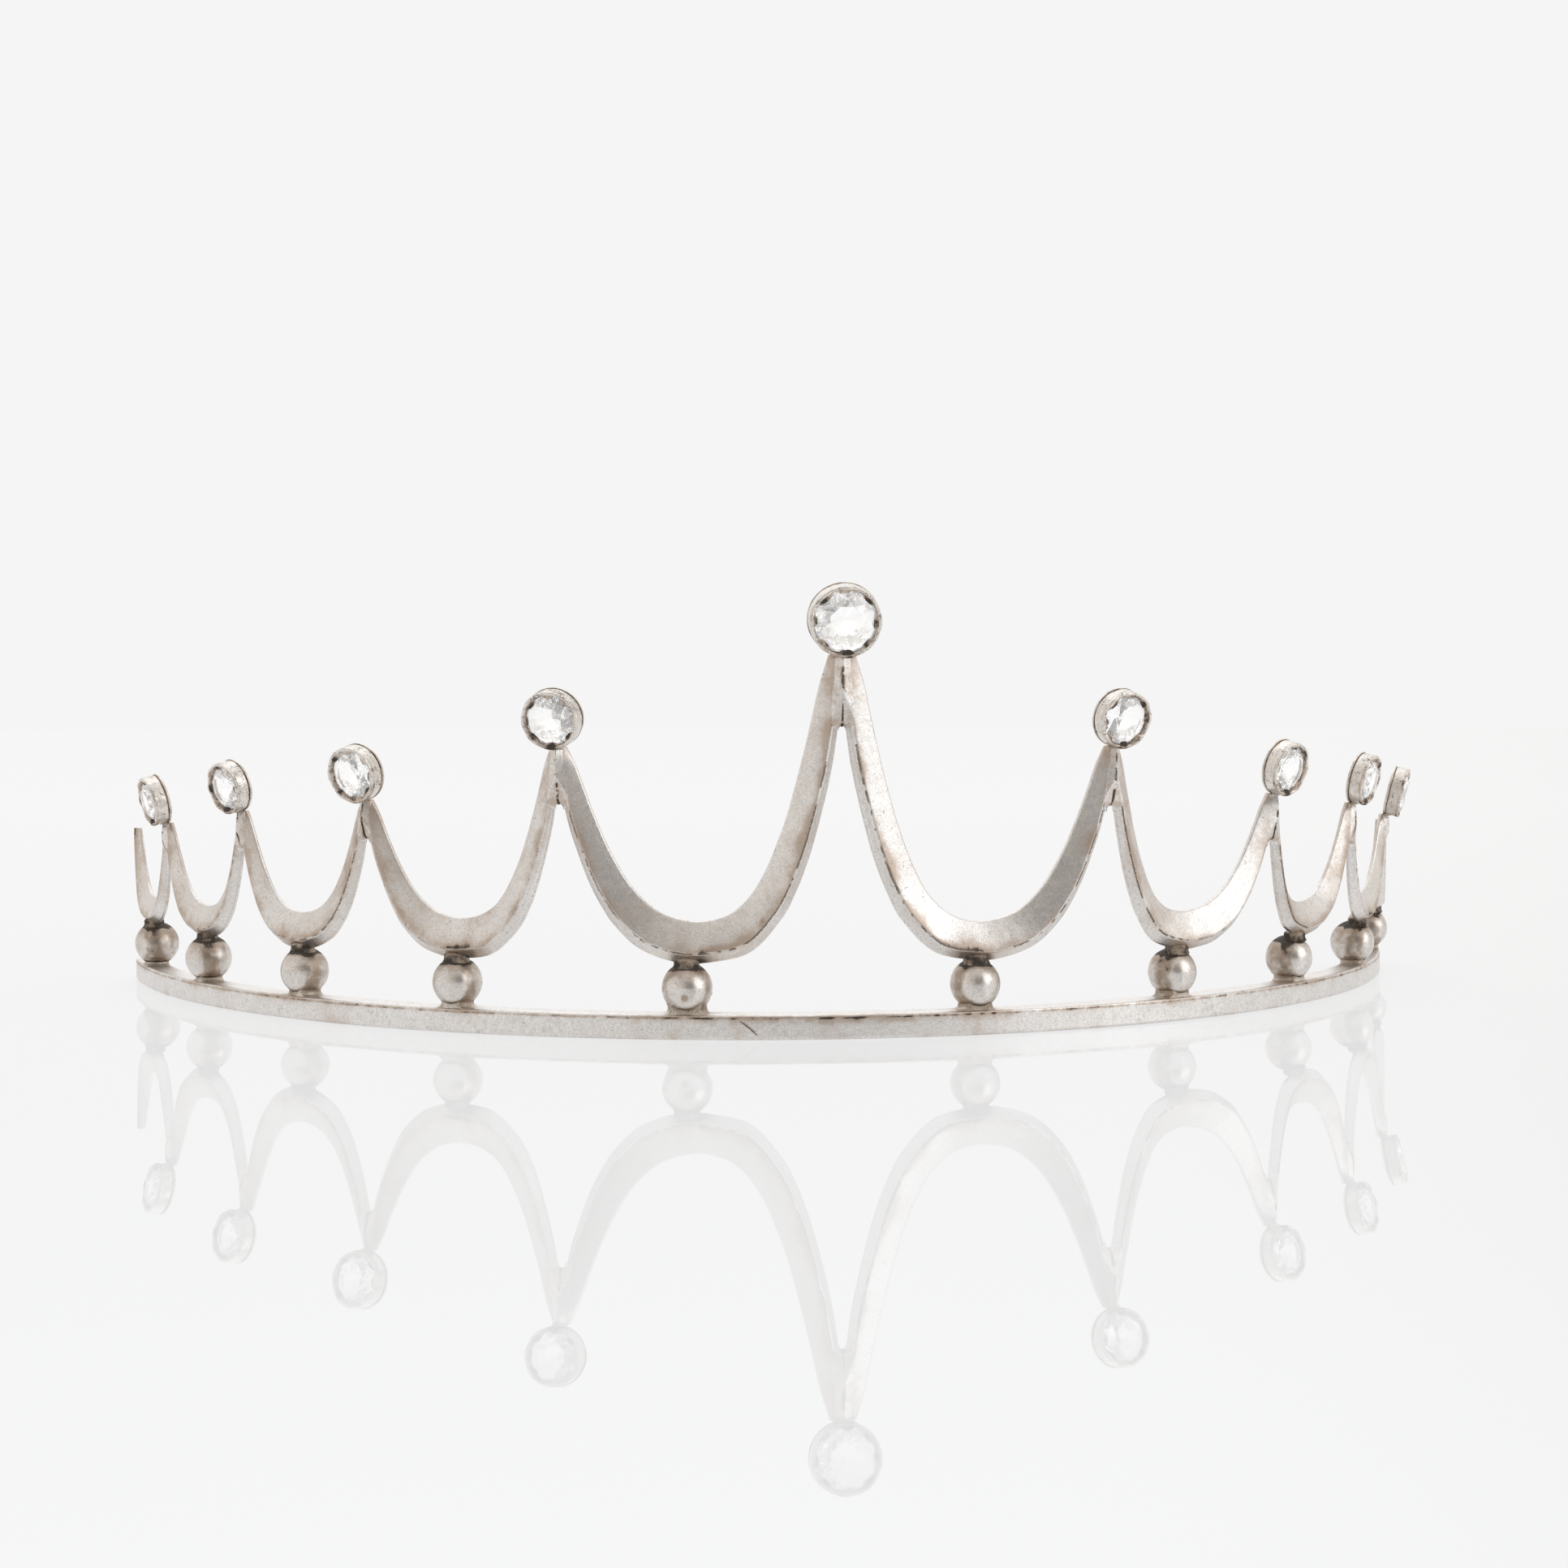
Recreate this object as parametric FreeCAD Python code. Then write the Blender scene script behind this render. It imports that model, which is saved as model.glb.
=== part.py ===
import FreeCAD, Part
import os, math

# Half-round diadem in silver with paste stones, millimetres.
# Frame: +Z up, +X across the head, -Y to the front.
# The band's arc is struck about (0, 0) while building; at the end every piece is
# shifted so that the origin is the middle of the footprint, on the resting plane.

# ---------------------------------------------------------------- driving sizes
ARC_R      = 77.5     # radius of the circle that the bead centres lie on
BAND_IN    = 1.35     # band, inward of the bead circle
BAND_OUT   = 1.55     # band, outward of the bead circle
BAND_H     = 2.45     # height of the band bar
BAND_END   = 77.6     # half angle of the band, degrees
BAND_EDGE  = 0.28     # rounding along the band's long edges

BEAD_D     = 5.0
BEAD_Z     = 4.95     # height of the bead centres
PEG_D      = 1.1      # wire peg through each bead
PEG_LOW    = 1.15     # height where the peg bottoms in the band
PEG_IN     = 1.1      # how far the peg enters the swag above its underside
COLLAR_UP_D  = 2.7    # collar between bead and swag
COLLAR_LOW_D = 4.3    # flared collar between bead and band
COLLAR_LOW_TOP_D = 3.2
COLLAR_LOW_TOP = 3.12  # height where the flare meets the bead

# bead angles, degrees from the front, and apex angles and heights between them
BEAD_ANG   = [-71.3, -57.2, -43.5, -28.6, -10.8, 10.5, 28.0, 42.9, 57.8, 71.8]
SWAG_ANG   = [-71.3, -57.3, -43.9, -28.1, -9.8, 10.7, 28.3, 43.3, 57.9, 71.8]   # lowest points of the swags
APEX_ANG   = [-64.4, -50.4, -36.25, -20.1, 0.35, 21.15, 38.0, 51.5, 65.1]
APEX_H     = [19.5, 21.5, 23.1, 28.6, 37.5, 28.5, 23.2, 21.6, 19.5]
APEX_HALF  = [0.66, 0.66, 0.68, 0.84, 1.32, 0.80, 0.68, 0.66, 0.66]  # half width of the apex top
TIP_ANG    = [-76.9, 77.1]   # the two bare end tips
TIP_H      = [18.1, 18.1]
TIP_HALF   = 0.40

SWAG_UNDER = 7.35     # underside of every swag
SWAG_IN    = [10.3, 10.7, 11.1, 11.4, 11.5, 11.2, 11.3, 11.1, 10.7, 10.3]  # inner edge at the bottom
SWAG_DEEP  = 1.80     # front to back at the bottom of a swag
TIP_DEEP   = 1.00     # front to back at its tips
EDGE_IN    = 0.42     # thickness of the inner edge
EDGE_OUT   = 0.38     # thickness of the outer edge
BACK_CANT  = 0.36     # the back is canted: its outer edge stands this much further forward
RIDGE_AT   = 0.75     # ridge position across the bar, from the inner edge
SEAM       = 0.11     # half gap between two arms where they are soldered together

FLARE      = 0.036    # outward lean of the swags, per mm of height
FLARE_R    = 0.030    # extra lean reached at the right-hand end
WALL_OUT   = 0.30     # the swags stand this far outside the bead circle
WALL_OUT_R = 0.80     # and this much more on the right-hand side
WALL_OUT_T = 0.45     # the left bare tip is bent out by this

CUP_R      = [2.78, 2.77, 2.90, 2.91, 3.50, 2.92, 2.91, 2.87, 2.92]   # outer radius of each setting
CUP_L      = 1.55     # length of the collet tube
CUP_L_MID  = 1.90
RING_L     = 0.36     # wire ring at the back of each collet
CUP_WALL   = 0.38
CUP_TILT   = 13.5     # the settings look this much downward
CUP_OUT    = 0.85     # the settings stand this far outward of the apexes
WEB_BOTTOM = [16.2, 17.6, 19.2, 23.0, 30.6, 22.5, 18.2, 17.0, 16.0]

# normalised curves of an arm: distance from the bead towards the apex -> height
F_IN  = [(0, 0), (.09, .0045), (.18, .018), (.26, .038), (.348, .072), (.422, .120), (.51, .190), (.589, .280),
         (.665, .380), (.738, .500), (.803, .620), (.866, .750), (.925, .880), (1.0, 1.0)]
F_OUT = [(0, 0), (.08, .001), (.16, .005), (.254, .015), (.352, .035), (.448, .070), (.545, .120), (.639, .190),
         (.729, .280), (.804, .380), (.873, .500), (.933, .620), (.978, .750), (1.0, .860)]
ARM_STATIONS = 11

os.makedirs("parts", exist_ok=True)
V = FreeCAD.Vector
NODES = {}

# ---------------------------------------------------------------- helpers
def interp(tab, x):
    # smooth monotone cubic through a table
    n = len(tab)
    if x <= tab[0][0]:
        return tab[0][1]
    if x >= tab[-1][0]:
        return tab[-1][1]
    d = [(tab[i + 1][1] - tab[i][1]) / (tab[i + 1][0] - tab[i][0]) for i in range(n - 1)]
    m = [d[0]] + [0.0 if d[i - 1] * d[i] <= 0 else 2 * d[i - 1] * d[i] / (d[i - 1] + d[i])
                  for i in range(1, n - 1)] + [d[-1]]
    for i in range(n - 1):
        if x <= tab[i + 1][0]:
            h = tab[i + 1][0] - tab[i][0]
            t = (x - tab[i][0]) / h
            return ((2 * t**3 - 3 * t**2 + 1) * tab[i][1] + (t**3 - 2 * t**2 + t) * h * m[i]
                    + (-2 * t**3 + 3 * t**2) * tab[i + 1][1] + (t**3 - t**2) * h * m[i + 1])

def lean(a):
    return FLARE + FLARE_R * (max(a, 0.0) / 65.0) ** 1.5

def ease(x):
    x = min(max(x, 0.0), 1.0)
    return x * x * (3 - 2 * x)

def wall_off(a):
    return WALL_OUT + WALL_OUT_R * ease((a - 2.0) / 30.0) + WALL_OUT_T * ease((-a - 66.0) / 11.0)

def r_mid(a, z):
    return ARC_R + wall_off(a) + lean(a) * (z - BEAD_Z)

def radial(a):
    t = math.radians(a)
    return V(math.sin(t), -math.cos(t), 0)

def on_wall(a, z, off=0.0):
    p = radial(a) * (r_mid(a, z) + off)
    p.z = z
    return p

def deg(mm):
    return math.degrees(mm / ARC_R)

def box_halfspace(normal, dist, size=30.0):
    # solid that fills normal.p <= dist
    n = V(*normal)
    n.normalize()
    b = Part.makeBox(size, size, size, V(-size / 2, -size / 2, -size))
    b.Placement = FreeCAD.Placement(n * dist, FreeCAD.Rotation(V(0, 0, 1), n))
    return b

# ---------------------------------------------------------------- the band
def make_band():
    r0, r1 = ARC_R - BAND_IN, ARC_R + BAND_OUT
    prof = Part.makePolygon([V(r0, 0, 0), V(r1, 0, 0), V(r1, 0, BAND_H), V(r0, 0, BAND_H), V(r0, 0, 0)])
    f = Part.Face(prof)
    f.rotate(V(0, 0, 0), V(0, 0, 1), -90 - BAND_END)
    s = f.revolve(V(0, 0, 0), V(0, 0, 1), 2 * BAND_END)
    if s.ShapeType != "Solid":
        s = s.Solids[0]
    # rounded corners at the two ends, then softened long edges
    ends = [e for e in s.Edges if abs(e.Length - BAND_H) < 1e-4]
    s = s.makeFillet(0.9, ends)
    longe = [e for e in s.Edges if e.Length > 100]
    try:
        t = s.makeFillet(BAND_EDGE, longe)
        if t.isValid():
            s = t
    except Exception:
        pass
    return s.Solids[0]

# ---------------------------------------------------------------- one swag
def arm_points(bead, apex, height, half, z_in, bare):
    """stations of one arm: list of (inner angle, inner z, outer angle, outer z, depth)"""
    sgn = 1.0 if apex > bead else -1.0
    a_in = apex - sgn * deg(half)
    a_out = apex + sgn * deg(half) if bare else apex - sgn * deg(SEAM)
    N = 240
    inner, outer = [], []
    for i in range(N + 1):
        x = i / N
        inner.append((bead + (a_in - bead) * x, z_in + (height - z_in) * interp(F_IN, x)))
    for i in range(N + 1):
        x = i / N
        outer.append((bead + (a_out - bead) * x, SWAG_UNDER + (height - SWAG_UNDER) * interp(F_OUT, x)))
    z0 = outer[-1][1]
    for i in range(1, 61):
        outer.append((a_out, z0 + (height - z0) * i / 60.0))
    k = math.pi / 180 * ARC_R
    I = [(a * k, z) for a, z in inner]
    O = [(a * k, z) for a, z in outer]
    cum = [0.0]
    for i in range(1, len(I)):
        cum.append(cum[-1] + math.hypot(I[i][0] - I[i - 1][0], I[i][1] - I[i - 1][1]))
    res, j = [], 0
    for s in range(ARM_STATIONS + 1):
        u = s / ARM_STATIONS
        target = cum[-1] * u
        i = min(range(len(cum)), key=lambda q: abs(cum[q] - target))
        if s == 0:
            jj = 0
        elif s == ARM_STATIONS:
            jj = len(O) - 1
        else:
            i0, i1 = max(i - 2, 0), min(i + 2, len(I) - 1)
            ti = (I[i1][0] - I[i0][0], I[i1][1] - I[i0][1])
            li = math.hypot(*ti)
            best, jj = None, j
            for q in range(j, len(O) - 1):
                to = (O[min(q + 2, len(O) - 1)][0] - O[max(q - 2, 0)][0],
                      O[min(q + 2, len(O) - 1)][1] - O[max(q - 2, 0)][1])
                lo = math.hypot(*to)
                t = (ti[0] / li + to[0] / lo, ti[1] / li + to[1] / lo)
                d = (O[q][0] - I[i][0]) * t[0] + (O[q][1] - I[i][1]) * t[1]
                if best is None or abs(d) < best:
                    best, jj = abs(d), q
        j = max(j, jj)
        w = u ** 1.25
        depth = SWAG_DEEP + (TIP_DEEP - SWAG_DEEP) * w
        res.append((I[i][0] / k, I[i][1], O[jj][0] / k, O[jj][1], depth))
    return res

def cant(depth):
    return BACK_CANT * (depth / SWAG_DEEP) ** 2

def swag_section(st):
    ai, zi, ao, zo, depth = st
    half = depth / 2.0
    ib = on_wall(ai, zi, -half)
    ob = on_wall(ao, zo, -half + cant(depth))
    mid = (ai + ao) / 2
    d = radial(mid)
    ei = EDGE_IN * (0.6 + 0.4 * depth / SWAG_DEEP)
    eo = EDGE_OUT * (0.6 + 0.4 * depth / SWAG_DEEP)
    rb = on_wall(ai, zi, -half) * (1 - RIDGE_AT) + on_wall(ao, zo, -half) * RIDGE_AT
    pts = [ib, ib + d * ei, rb + d * depth, ob + d * eo, ob]
    return Part.makePolygon(pts + [pts[0]])

def make_swag(j):
    b = SWAG_ANG[j]
    if j == 0:
        left = (TIP_ANG[0], TIP_H[0], TIP_HALF, True)
    else:
        left = (APEX_ANG[j - 1], APEX_H[j - 1], APEX_HALF[j - 1], False)
    if j == 9:
        right = (TIP_ANG[1], TIP_H[1], TIP_HALF, True)
    else:
        right = (APEX_ANG[j], APEX_H[j], APEX_HALF[j], False)
    L = arm_points(b, left[0], left[1], left[2], SWAG_IN[j], left[3])
    R = arm_points(b, right[0], right[1], right[2], SWAG_IN[j], right[3])
    wires = [swag_section(s) for s in reversed(L[1:])] + [swag_section(s) for s in R]
    s = Part.makeLoft(wires, True, False)
    return s.Solids[0] if s.Solids else s

# ---------------------------------------------------------------- beads, pegs and collars
def axis_point(a, z, off=0.0):
    p = radial(a) * (ARC_R + off)
    p.z = z
    return p

def peg_off(a):
    return 0.6 * wall_off(a)

def make_peg(a, under):
    return Part.makeCylinder(PEG_D / 2, under + PEG_IN - PEG_LOW, axis_point(a, PEG_LOW, peg_off(a)), V(0, 0, 1))

def make_bead(a):
    # poles front and back, seam to the side, so that the peg's bore meets neither
    t, n, c = V(0, 0, 1).cross(radial(a)), radial(a), axis_point(a, BEAD_Z)
    m = FreeCAD.Matrix(t.x, 0, n.x, c.x, t.y, 0, n.y, c.y, 0, 1, 0, c.z, 0, 0, 0, 1)
    s = Part.makeSphere(BEAD_D / 2)
    s.Placement = FreeCAD.Placement(m)
    return s

def make_low_collar(a):
    top = COLLAR_LOW_TOP
    c = Part.makeCone(COLLAR_LOW_D / 2, COLLAR_LOW_TOP_D / 2, top - BAND_H, axis_point(a, BAND_H), V(0, 0, 1))
    ring = Part.makeCylinder(ARC_R + BAND_OUT - 0.22, 4, V(0, 0, 1)).cut(
        Part.makeCylinder(ARC_R - BAND_IN + 0.18, 4, V(0, 0, 1)))
    return c.common(ring)

def make_up_collar(a):
    return Part.makeCylinder(COLLAR_UP_D / 2, 1.6, axis_point(a, BEAD_Z + 1.9, peg_off(a)), V(0, 0, 1))

# ---------------------------------------------------------------- settings and stones
def cup_frame(i):
    """placement of a setting: local +Z looks out of the cup, local +Y is up"""
    a, h = APEX_ANG[i], APEX_H[i]
    big = i == 4
    ro = CUP_R[i]
    ln = (CUP_L_MID if big else CUP_L)
    t = math.radians(CUP_TILT)
    rd = radial(a)
    n = rd * math.cos(t) - V(0, 0, 1) * math.sin(t)
    up = rd * math.sin(t) + V(0, 0, 1) * math.cos(t)
    x = up.cross(n)
    base = on_wall(a, h, 0.0) + up * (ro + 0.10) + n * (CUP_OUT - (ln - RING_L) / 2)
    m = FreeCAD.Matrix(x.x, up.x, n.x, base.x, x.y, up.y, n.y, base.y, x.z, up.z, n.z, base.z, 0, 0, 0, 1)
    return FreeCAD.Placement(m), ro, ln

def make_cup(ro, ln):
    seat = ln - 0.62
    P = [(ro - 0.95, 0), (ro - 0.05, 0), (ro, 0.12), (ro, ln - 0.42), (ro - 0.20, ln), (ro - 0.50, ln),
         (ro - CUP_WALL, ln - 0.40), (ro - CUP_WALL, seat), (ro - 0.95, seat - 0.22)]
    w = Part.makePolygon([V(r, 0, z) for r, z in P] + [V(P[0][0], 0, P[0][1])])
    s = Part.Face(w).revolve(V(0, 0, 0), V(0, 0, 1), 360)
    s = s.Solids[0] if s.ShapeType != "Solid" else s
    # scalloped mouth: eight round bites out of the turned-over lip
    for k in range(8):
        t = math.radians(45 * k + 22.5)
        bite = Part.makeCylinder(0.62, 1.0, V((ro - 0.72) * math.cos(t), (ro - 0.72) * math.sin(t), ln - 0.24), V(0, 0, 1))
        s = s.cut(bite)
    return s.Solids[0]

def make_ring(ro):
    P = [(ro - 1.15, -RING_L + 0.06), (ro - 1.05, -RING_L), (ro - 0.02, -RING_L), (ro + 0.06, -RING_L + 0.1),
         (ro + 0.06, -0.1), (ro - 0.02, 0), (ro - 1.15, 0)]
    w = Part.makePolygon([V(r, 0, z) for r, z in P] + [V(P[0][0], 0, P[0][1])])
    s = Part.Face(w).revolve(V(0, 0, 0), V(0, 0, 1), 360)
    return s.Solids[0] if s.ShapeType != "Solid" else s

def make_stone(ro, ln):
    """round brilliant: table, stars, kites, upper and lower girdle facets, mains"""
    r = ro - CUP_WALL - 0.03
    g0, g1 = ln - 0.58, ln - 0.48          # girdle
    depth = g0 + RING_L - 0.06              # the culet stops short of the back ring
    crown = 0.30 * r
    s = Part.makeCylinder(r, crown + depth + 0.2, V(0, 0, g0 - depth - 0.1), V(0, 0, 1))
    def cut(phi, theta, rr, z, up=1):
        t, p = math.radians(theta), math.radians(phi)
        n = (math.sin(t) * math.cos(p), math.sin(t) * math.sin(p), up * math.cos(t))
        d = math.sin(t) * rr + up * math.cos(t) * z
        return box_halfspace(n, d)
    pav = math.degrees(math.atan2(depth, r))
    for k in range(8):
        s = s.common(cut(45 * k, pav, r, g0, -1))
        s = s.common(cut(45 * k, 34.0, r, g1))
    for k in range(16):
        s = s.common(cut(22.5 * k + 11.25, pav + 1.6, r * 0.985, g0, -1))
        s = s.common(cut(22.5 * k + 11.25, 40.0, r * 0.985, g1))
    for k in range(8):
        s = s.common(cut(45 * k + 22.5, 21.0, r * 0.70, g1 + crown * 0.655))
    s = s.common(box_halfspace((0, 0, 1), g1 + crown))
    return s.Solids[0]

# ---------------------------------------------------------------- solder at the apexes
def outer_edge_at(j, side, z):
    """angle of the outer edge of swag j on its left (-1) or right (+1) arm at height z"""
    b = SWAG_ANG[j]
    i = j if side > 0 else j - 1
    apex, h = APEX_ANG[i], APEX_H[i]
    a_out = apex - side * deg(SEAM)
    y = (z - SWAG_UNDER) / (h - SWAG_UNDER)
    if y >= F_OUT[-1][1]:
        return a_out
    lo, hi = 0.0, 1.0
    for _ in range(50):
        m = (lo + hi) / 2
        if interp(F_OUT, m) < y:
            lo = m
        else:
            hi = m
    return b + (a_out - b) * lo

def make_web(i):
    h, z0 = APEX_H[i], WEB_BOTTOM[i]
    wires, n = [], 8
    for k in range(n + 1):
        z = z0 + (h - 0.02 - z0) * k / n
        aL = outer_edge_at(i, +1, z) - deg(0.12)
        aR = outer_edge_at(i + 1, -1, z) + deg(0.12)
        u = (z - SWAG_UNDER) / (h - SWAG_UNDER)
        hw = 0.40 - 0.05 * u
        deep = SWAG_DEEP + (TIP_DEEP - SWAG_DEEP) * u
        back = -deep / 2 + cant(deep) + 0.03
        P = [on_wall(aL, z, back), on_wall(aR, z, back), on_wall(aR, z, back + 2 * hw), on_wall(aL, z, back + 2 * hw)]
        wires.append(Part.makePolygon(P + [P[0]]))
    s = Part.makeLoft(wires, True, True)
    return s.Solids[0] if s.Solids else s

def make_stem(i):
    """short block of solder between an apex and its setting"""
    a, h = APEX_ANG[i], APEX_H[i]
    hw = APEX_HALF[i] * 0.80
    c = Part.makeCone(hw + 0.12, hw + 0.02, 1.05, V(0, 0, 0), V(0, 0, 1))
    # leaning outward, towards the middle of the setting
    m = FreeCAD.Matrix()
    rd = radial(a)
    k = 0.25
    m.A13, m.A23 = rd.x * k, rd.y * k
    c = c.transformGeometry(m)
    c.translate(on_wall(a, h, 0.05))
    return c

# ---------------------------------------------------------------- build
def solids(shape):
    return [s for s in shape.Solids if s.Volume > 1e-4]

swags = [make_swag(j) for j in range(10)]
band = make_band()
pegs = [make_peg(a, SWAG_UNDER) for a in BEAD_ANG]
beads = [make_bead(a) for a in BEAD_ANG]

side = lambda j: ("left", 5 - j) if j < 5 else ("right", j - 4)      # 1 is next to the centre
for j in range(10):
    nm = "%s_%d" % side(j)
    NODES["swag_" + nm] = swags[j].cut(pegs[j]).cut(beads[j])
    NODES["ball_" + nm] = beads[j].cut(pegs[j])
NODES["base_band"] = band.cut(Part.makeCompound(pegs))
NODES["ball_pegs"] = Part.makeCompound(pegs)

low, up = [], []
for j, a in enumerate(BEAD_ANG):
    low += solids(make_low_collar(a).cut(beads[j]).cut(pegs[j]))
    c = make_up_collar(a).cut(beads[j]).cut(swags[j]).cut(pegs[j])
    got = sorted(solids(c), key=lambda s: s.BoundBox.ZMin)
    up += got[:1]
NODES["lower_collars"] = Part.makeCompound(low)
NODES["upper_collars"] = Part.makeCompound(up)

cups, webs, stems = [], [], []
proto = {}
for i in range(9):
    pl, ro, ln = cup_frame(i)
    if ro not in proto:
        proto[ro] = (make_cup(ro, ln), make_ring(ro), make_stone(ro, ln))
    nm = "centre" if i == 4 else ("left_%d" % (4 - i) if i < 4 else "right_%d" % (i - 4))
    placed = []
    for key, sh in zip(("bezel_", "bezel_back_", "stone_"), proto[ro]):
        s = sh.copy()
        s.Placement = pl.multiply(s.Placement)
        NODES[key + nm] = s
        placed.append(s)
    cups.append(placed)
    w = make_web(i).cut(swags[i]).cut(swags[i + 1])
    webs += sorted(solids(w), key=lambda s: -s.Volume)[:1]
    block = Part.makeCylinder(ro - 0.3, 6, V(0, 0, -3), V(0, 0, 1))
    block.Placement = pl.multiply(block.Placement)
    st = make_stem(i).cut(placed[0]).cut(placed[1]).cut(block)
    stems += sorted(solids(st), key=lambda s: s.BoundBox.ZMin)[:1]
NODES["apex_webs"] = Part.makeCompound(webs)
NODES["setting_stems"] = Part.makeCompound(stems)

# origin to the middle of the footprint
box = FreeCAD.BoundBox()
for s in NODES.values():
    s.tessellate(0.05)
    box.add(s.BoundBox)
shift = V(-(box.XMin + box.XMax) / 2, -(box.YMin + box.YMax) / 2, -box.ZMin)
print("size %.2f x %.2f x %.2f mm, shift %.3f %.3f %.3f" % (box.XLength, box.YLength, box.ZLength, *shift))

for name in sorted(NODES):
    s = NODES[name].copy()
    s.translate(shift)
    sl = s.Solids
    ok = all(q.isValid() for q in sl)
    print("%-18s solids %2d  volume %9.3f  %s" % (name, len(sl), sum(q.Volume for q in sl), "" if ok else "INVALID"))
    (sl[0] if len(sl) == 1 else Part.makeCompound(sl)).exportStep("parts/%s.step" % name)
print(len(NODES), "nodes")
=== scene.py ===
import math
import bpy
import numpy as np
from mathutils import Matrix, Vector


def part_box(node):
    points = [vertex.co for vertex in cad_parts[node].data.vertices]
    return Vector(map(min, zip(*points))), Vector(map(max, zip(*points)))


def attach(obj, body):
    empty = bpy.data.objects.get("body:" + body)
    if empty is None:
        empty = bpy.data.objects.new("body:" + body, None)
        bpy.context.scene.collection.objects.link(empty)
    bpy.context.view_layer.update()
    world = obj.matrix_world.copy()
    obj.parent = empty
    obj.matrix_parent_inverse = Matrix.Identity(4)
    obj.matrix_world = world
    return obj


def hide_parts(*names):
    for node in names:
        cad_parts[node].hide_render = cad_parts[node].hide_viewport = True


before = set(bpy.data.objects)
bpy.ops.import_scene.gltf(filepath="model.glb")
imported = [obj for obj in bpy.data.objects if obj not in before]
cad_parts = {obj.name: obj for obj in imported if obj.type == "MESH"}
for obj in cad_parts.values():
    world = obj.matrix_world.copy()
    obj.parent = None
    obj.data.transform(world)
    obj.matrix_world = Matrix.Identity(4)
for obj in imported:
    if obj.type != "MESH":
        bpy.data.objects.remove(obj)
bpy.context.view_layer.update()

scene = bpy.context.scene
rng = np.random.default_rng(7)

# ------------------------------------------------------------------ the frame
# everything below is worked out in millimetres about the centre of the arc, then moved to the row frame
ARC_R, BAND_IN, BAND_OUT, BAND_H, BAND_END = 77.5, 1.35, 1.55, 2.45, 77.6
b_lo, b_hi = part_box("base_band")
SH = np.array([(b_lo.x + b_hi.x) * 500, b_lo.y * 1000 + ARC_R + BAND_OUT, 0.0])

BEAD_D, BEAD_Z = 5.0, 4.95
BEAD_ANG = [-71.3, -57.2, -43.5, -28.6, -10.8, 10.5, 28.0, 42.9, 57.8, 71.8]
SWAG_ANG = [-71.3, -57.3, -43.9, -28.1, -9.8, 10.7, 28.3, 43.3, 57.9, 71.8]
APEX_ANG = [-64.4, -50.4, -36.25, -20.1, 0.35, 21.15, 38.0, 51.5, 65.1]
APEX_H = [19.5, 21.5, 23.1, 28.6, 37.5, 28.5, 23.2, 21.6, 19.5]
APEX_HALF = [0.66, 0.66, 0.68, 0.84, 1.32, 0.80, 0.68, 0.66, 0.66]
TIP_ANG, TIP_H, TIP_HALF = [-76.9, 77.1], [18.1, 18.1], 0.40
SWAG_UNDER = 7.35
SWAG_IN = [10.3, 10.7, 11.1, 11.4, 11.5, 11.2, 11.3, 11.1, 10.7, 10.3]
SWAG_DEEP, TIP_DEEP, EDGE_IN, EDGE_OUT, BACK_CANT = 1.80, 1.00, 0.42, 0.38, 0.36
RIDGE_AT, SEAM = 0.75, 0.11
FLARE, FLARE_R, WALL_OUT, WALL_OUT_R, WALL_OUT_T = 0.036, 0.030, 0.30, 0.80, 0.45
CUP_R = [2.78, 2.77, 2.90, 2.91, 3.50, 2.92, 2.91, 2.87, 2.92]
CUP_L, CUP_L_MID, RING_L, CUP_WALL, CUP_TILT, CUP_OUT = 1.55, 1.90, 0.36, 0.38, 13.5, 0.85
WEB_BOTTOM = [16.2, 17.6, 19.2, 23.0, 30.6, 22.5, 18.2, 17.0, 16.0]
F_IN = np.array([(0, 0), (.09, .0045), (.18, .018), (.26, .038), (.348, .072), (.422, .120), (.51, .190), (.589, .280),
                 (.665, .380), (.738, .500), (.803, .620), (.866, .750), (.925, .880), (1.0, 1.0)])
F_OUT = np.array([(0, 0), (.08, .001), (.16, .005), (.254, .015), (.352, .035), (.448, .070), (.545, .120), (.639, .190),
                  (.729, .280), (.804, .380), (.873, .500), (.933, .620), (.978, .750), (1.0, .860)])
ARM_STATIONS = 11


def interp(tab, x):
    n = len(tab)
    if x <= tab[0][0]:
        return tab[0][1]
    if x >= tab[-1][0]:
        return tab[-1][1]
    d = [(tab[i + 1][1] - tab[i][1]) / (tab[i + 1][0] - tab[i][0]) for i in range(n - 1)]
    m = [d[0]] + [0.0 if d[i - 1] * d[i] <= 0 else 2 * d[i - 1] * d[i] / (d[i - 1] + d[i])
                  for i in range(1, n - 1)] + [d[-1]]
    for i in range(n - 1):
        if x <= tab[i + 1][0]:
            h = tab[i + 1][0] - tab[i][0]
            t = (x - tab[i][0]) / h
            return ((2 * t**3 - 3 * t**2 + 1) * tab[i][1] + (t**3 - 2 * t**2 + t) * h * m[i]
                    + (-2 * t**3 + 3 * t**2) * tab[i + 1][1] + (t**3 - t**2) * h * m[i + 1])


def ease(x):
    x = np.clip(x, 0, 1)
    return x * x * (3 - 2 * x)


def lean(a):
    return FLARE + FLARE_R * (max(a, 0.0) / 65.0) ** 1.5


def wall_off(a):
    return WALL_OUT + WALL_OUT_R * float(ease((a - 2.0) / 30.0)) + WALL_OUT_T * float(ease((-a - 66.0) / 11.0))


def r_mid(a, z):
    return ARC_R + wall_off(a) + lean(a) * (z - BEAD_Z)


def radial(a):
    t = math.radians(a)
    return np.array([math.sin(t), -math.cos(t), 0.0])


def on_wall(a, z, off=0.0):
    p = radial(a) * (r_mid(a, z) + off)
    p[2] = z
    return p


def deg(mm):
    return math.degrees(mm / ARC_R)


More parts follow.
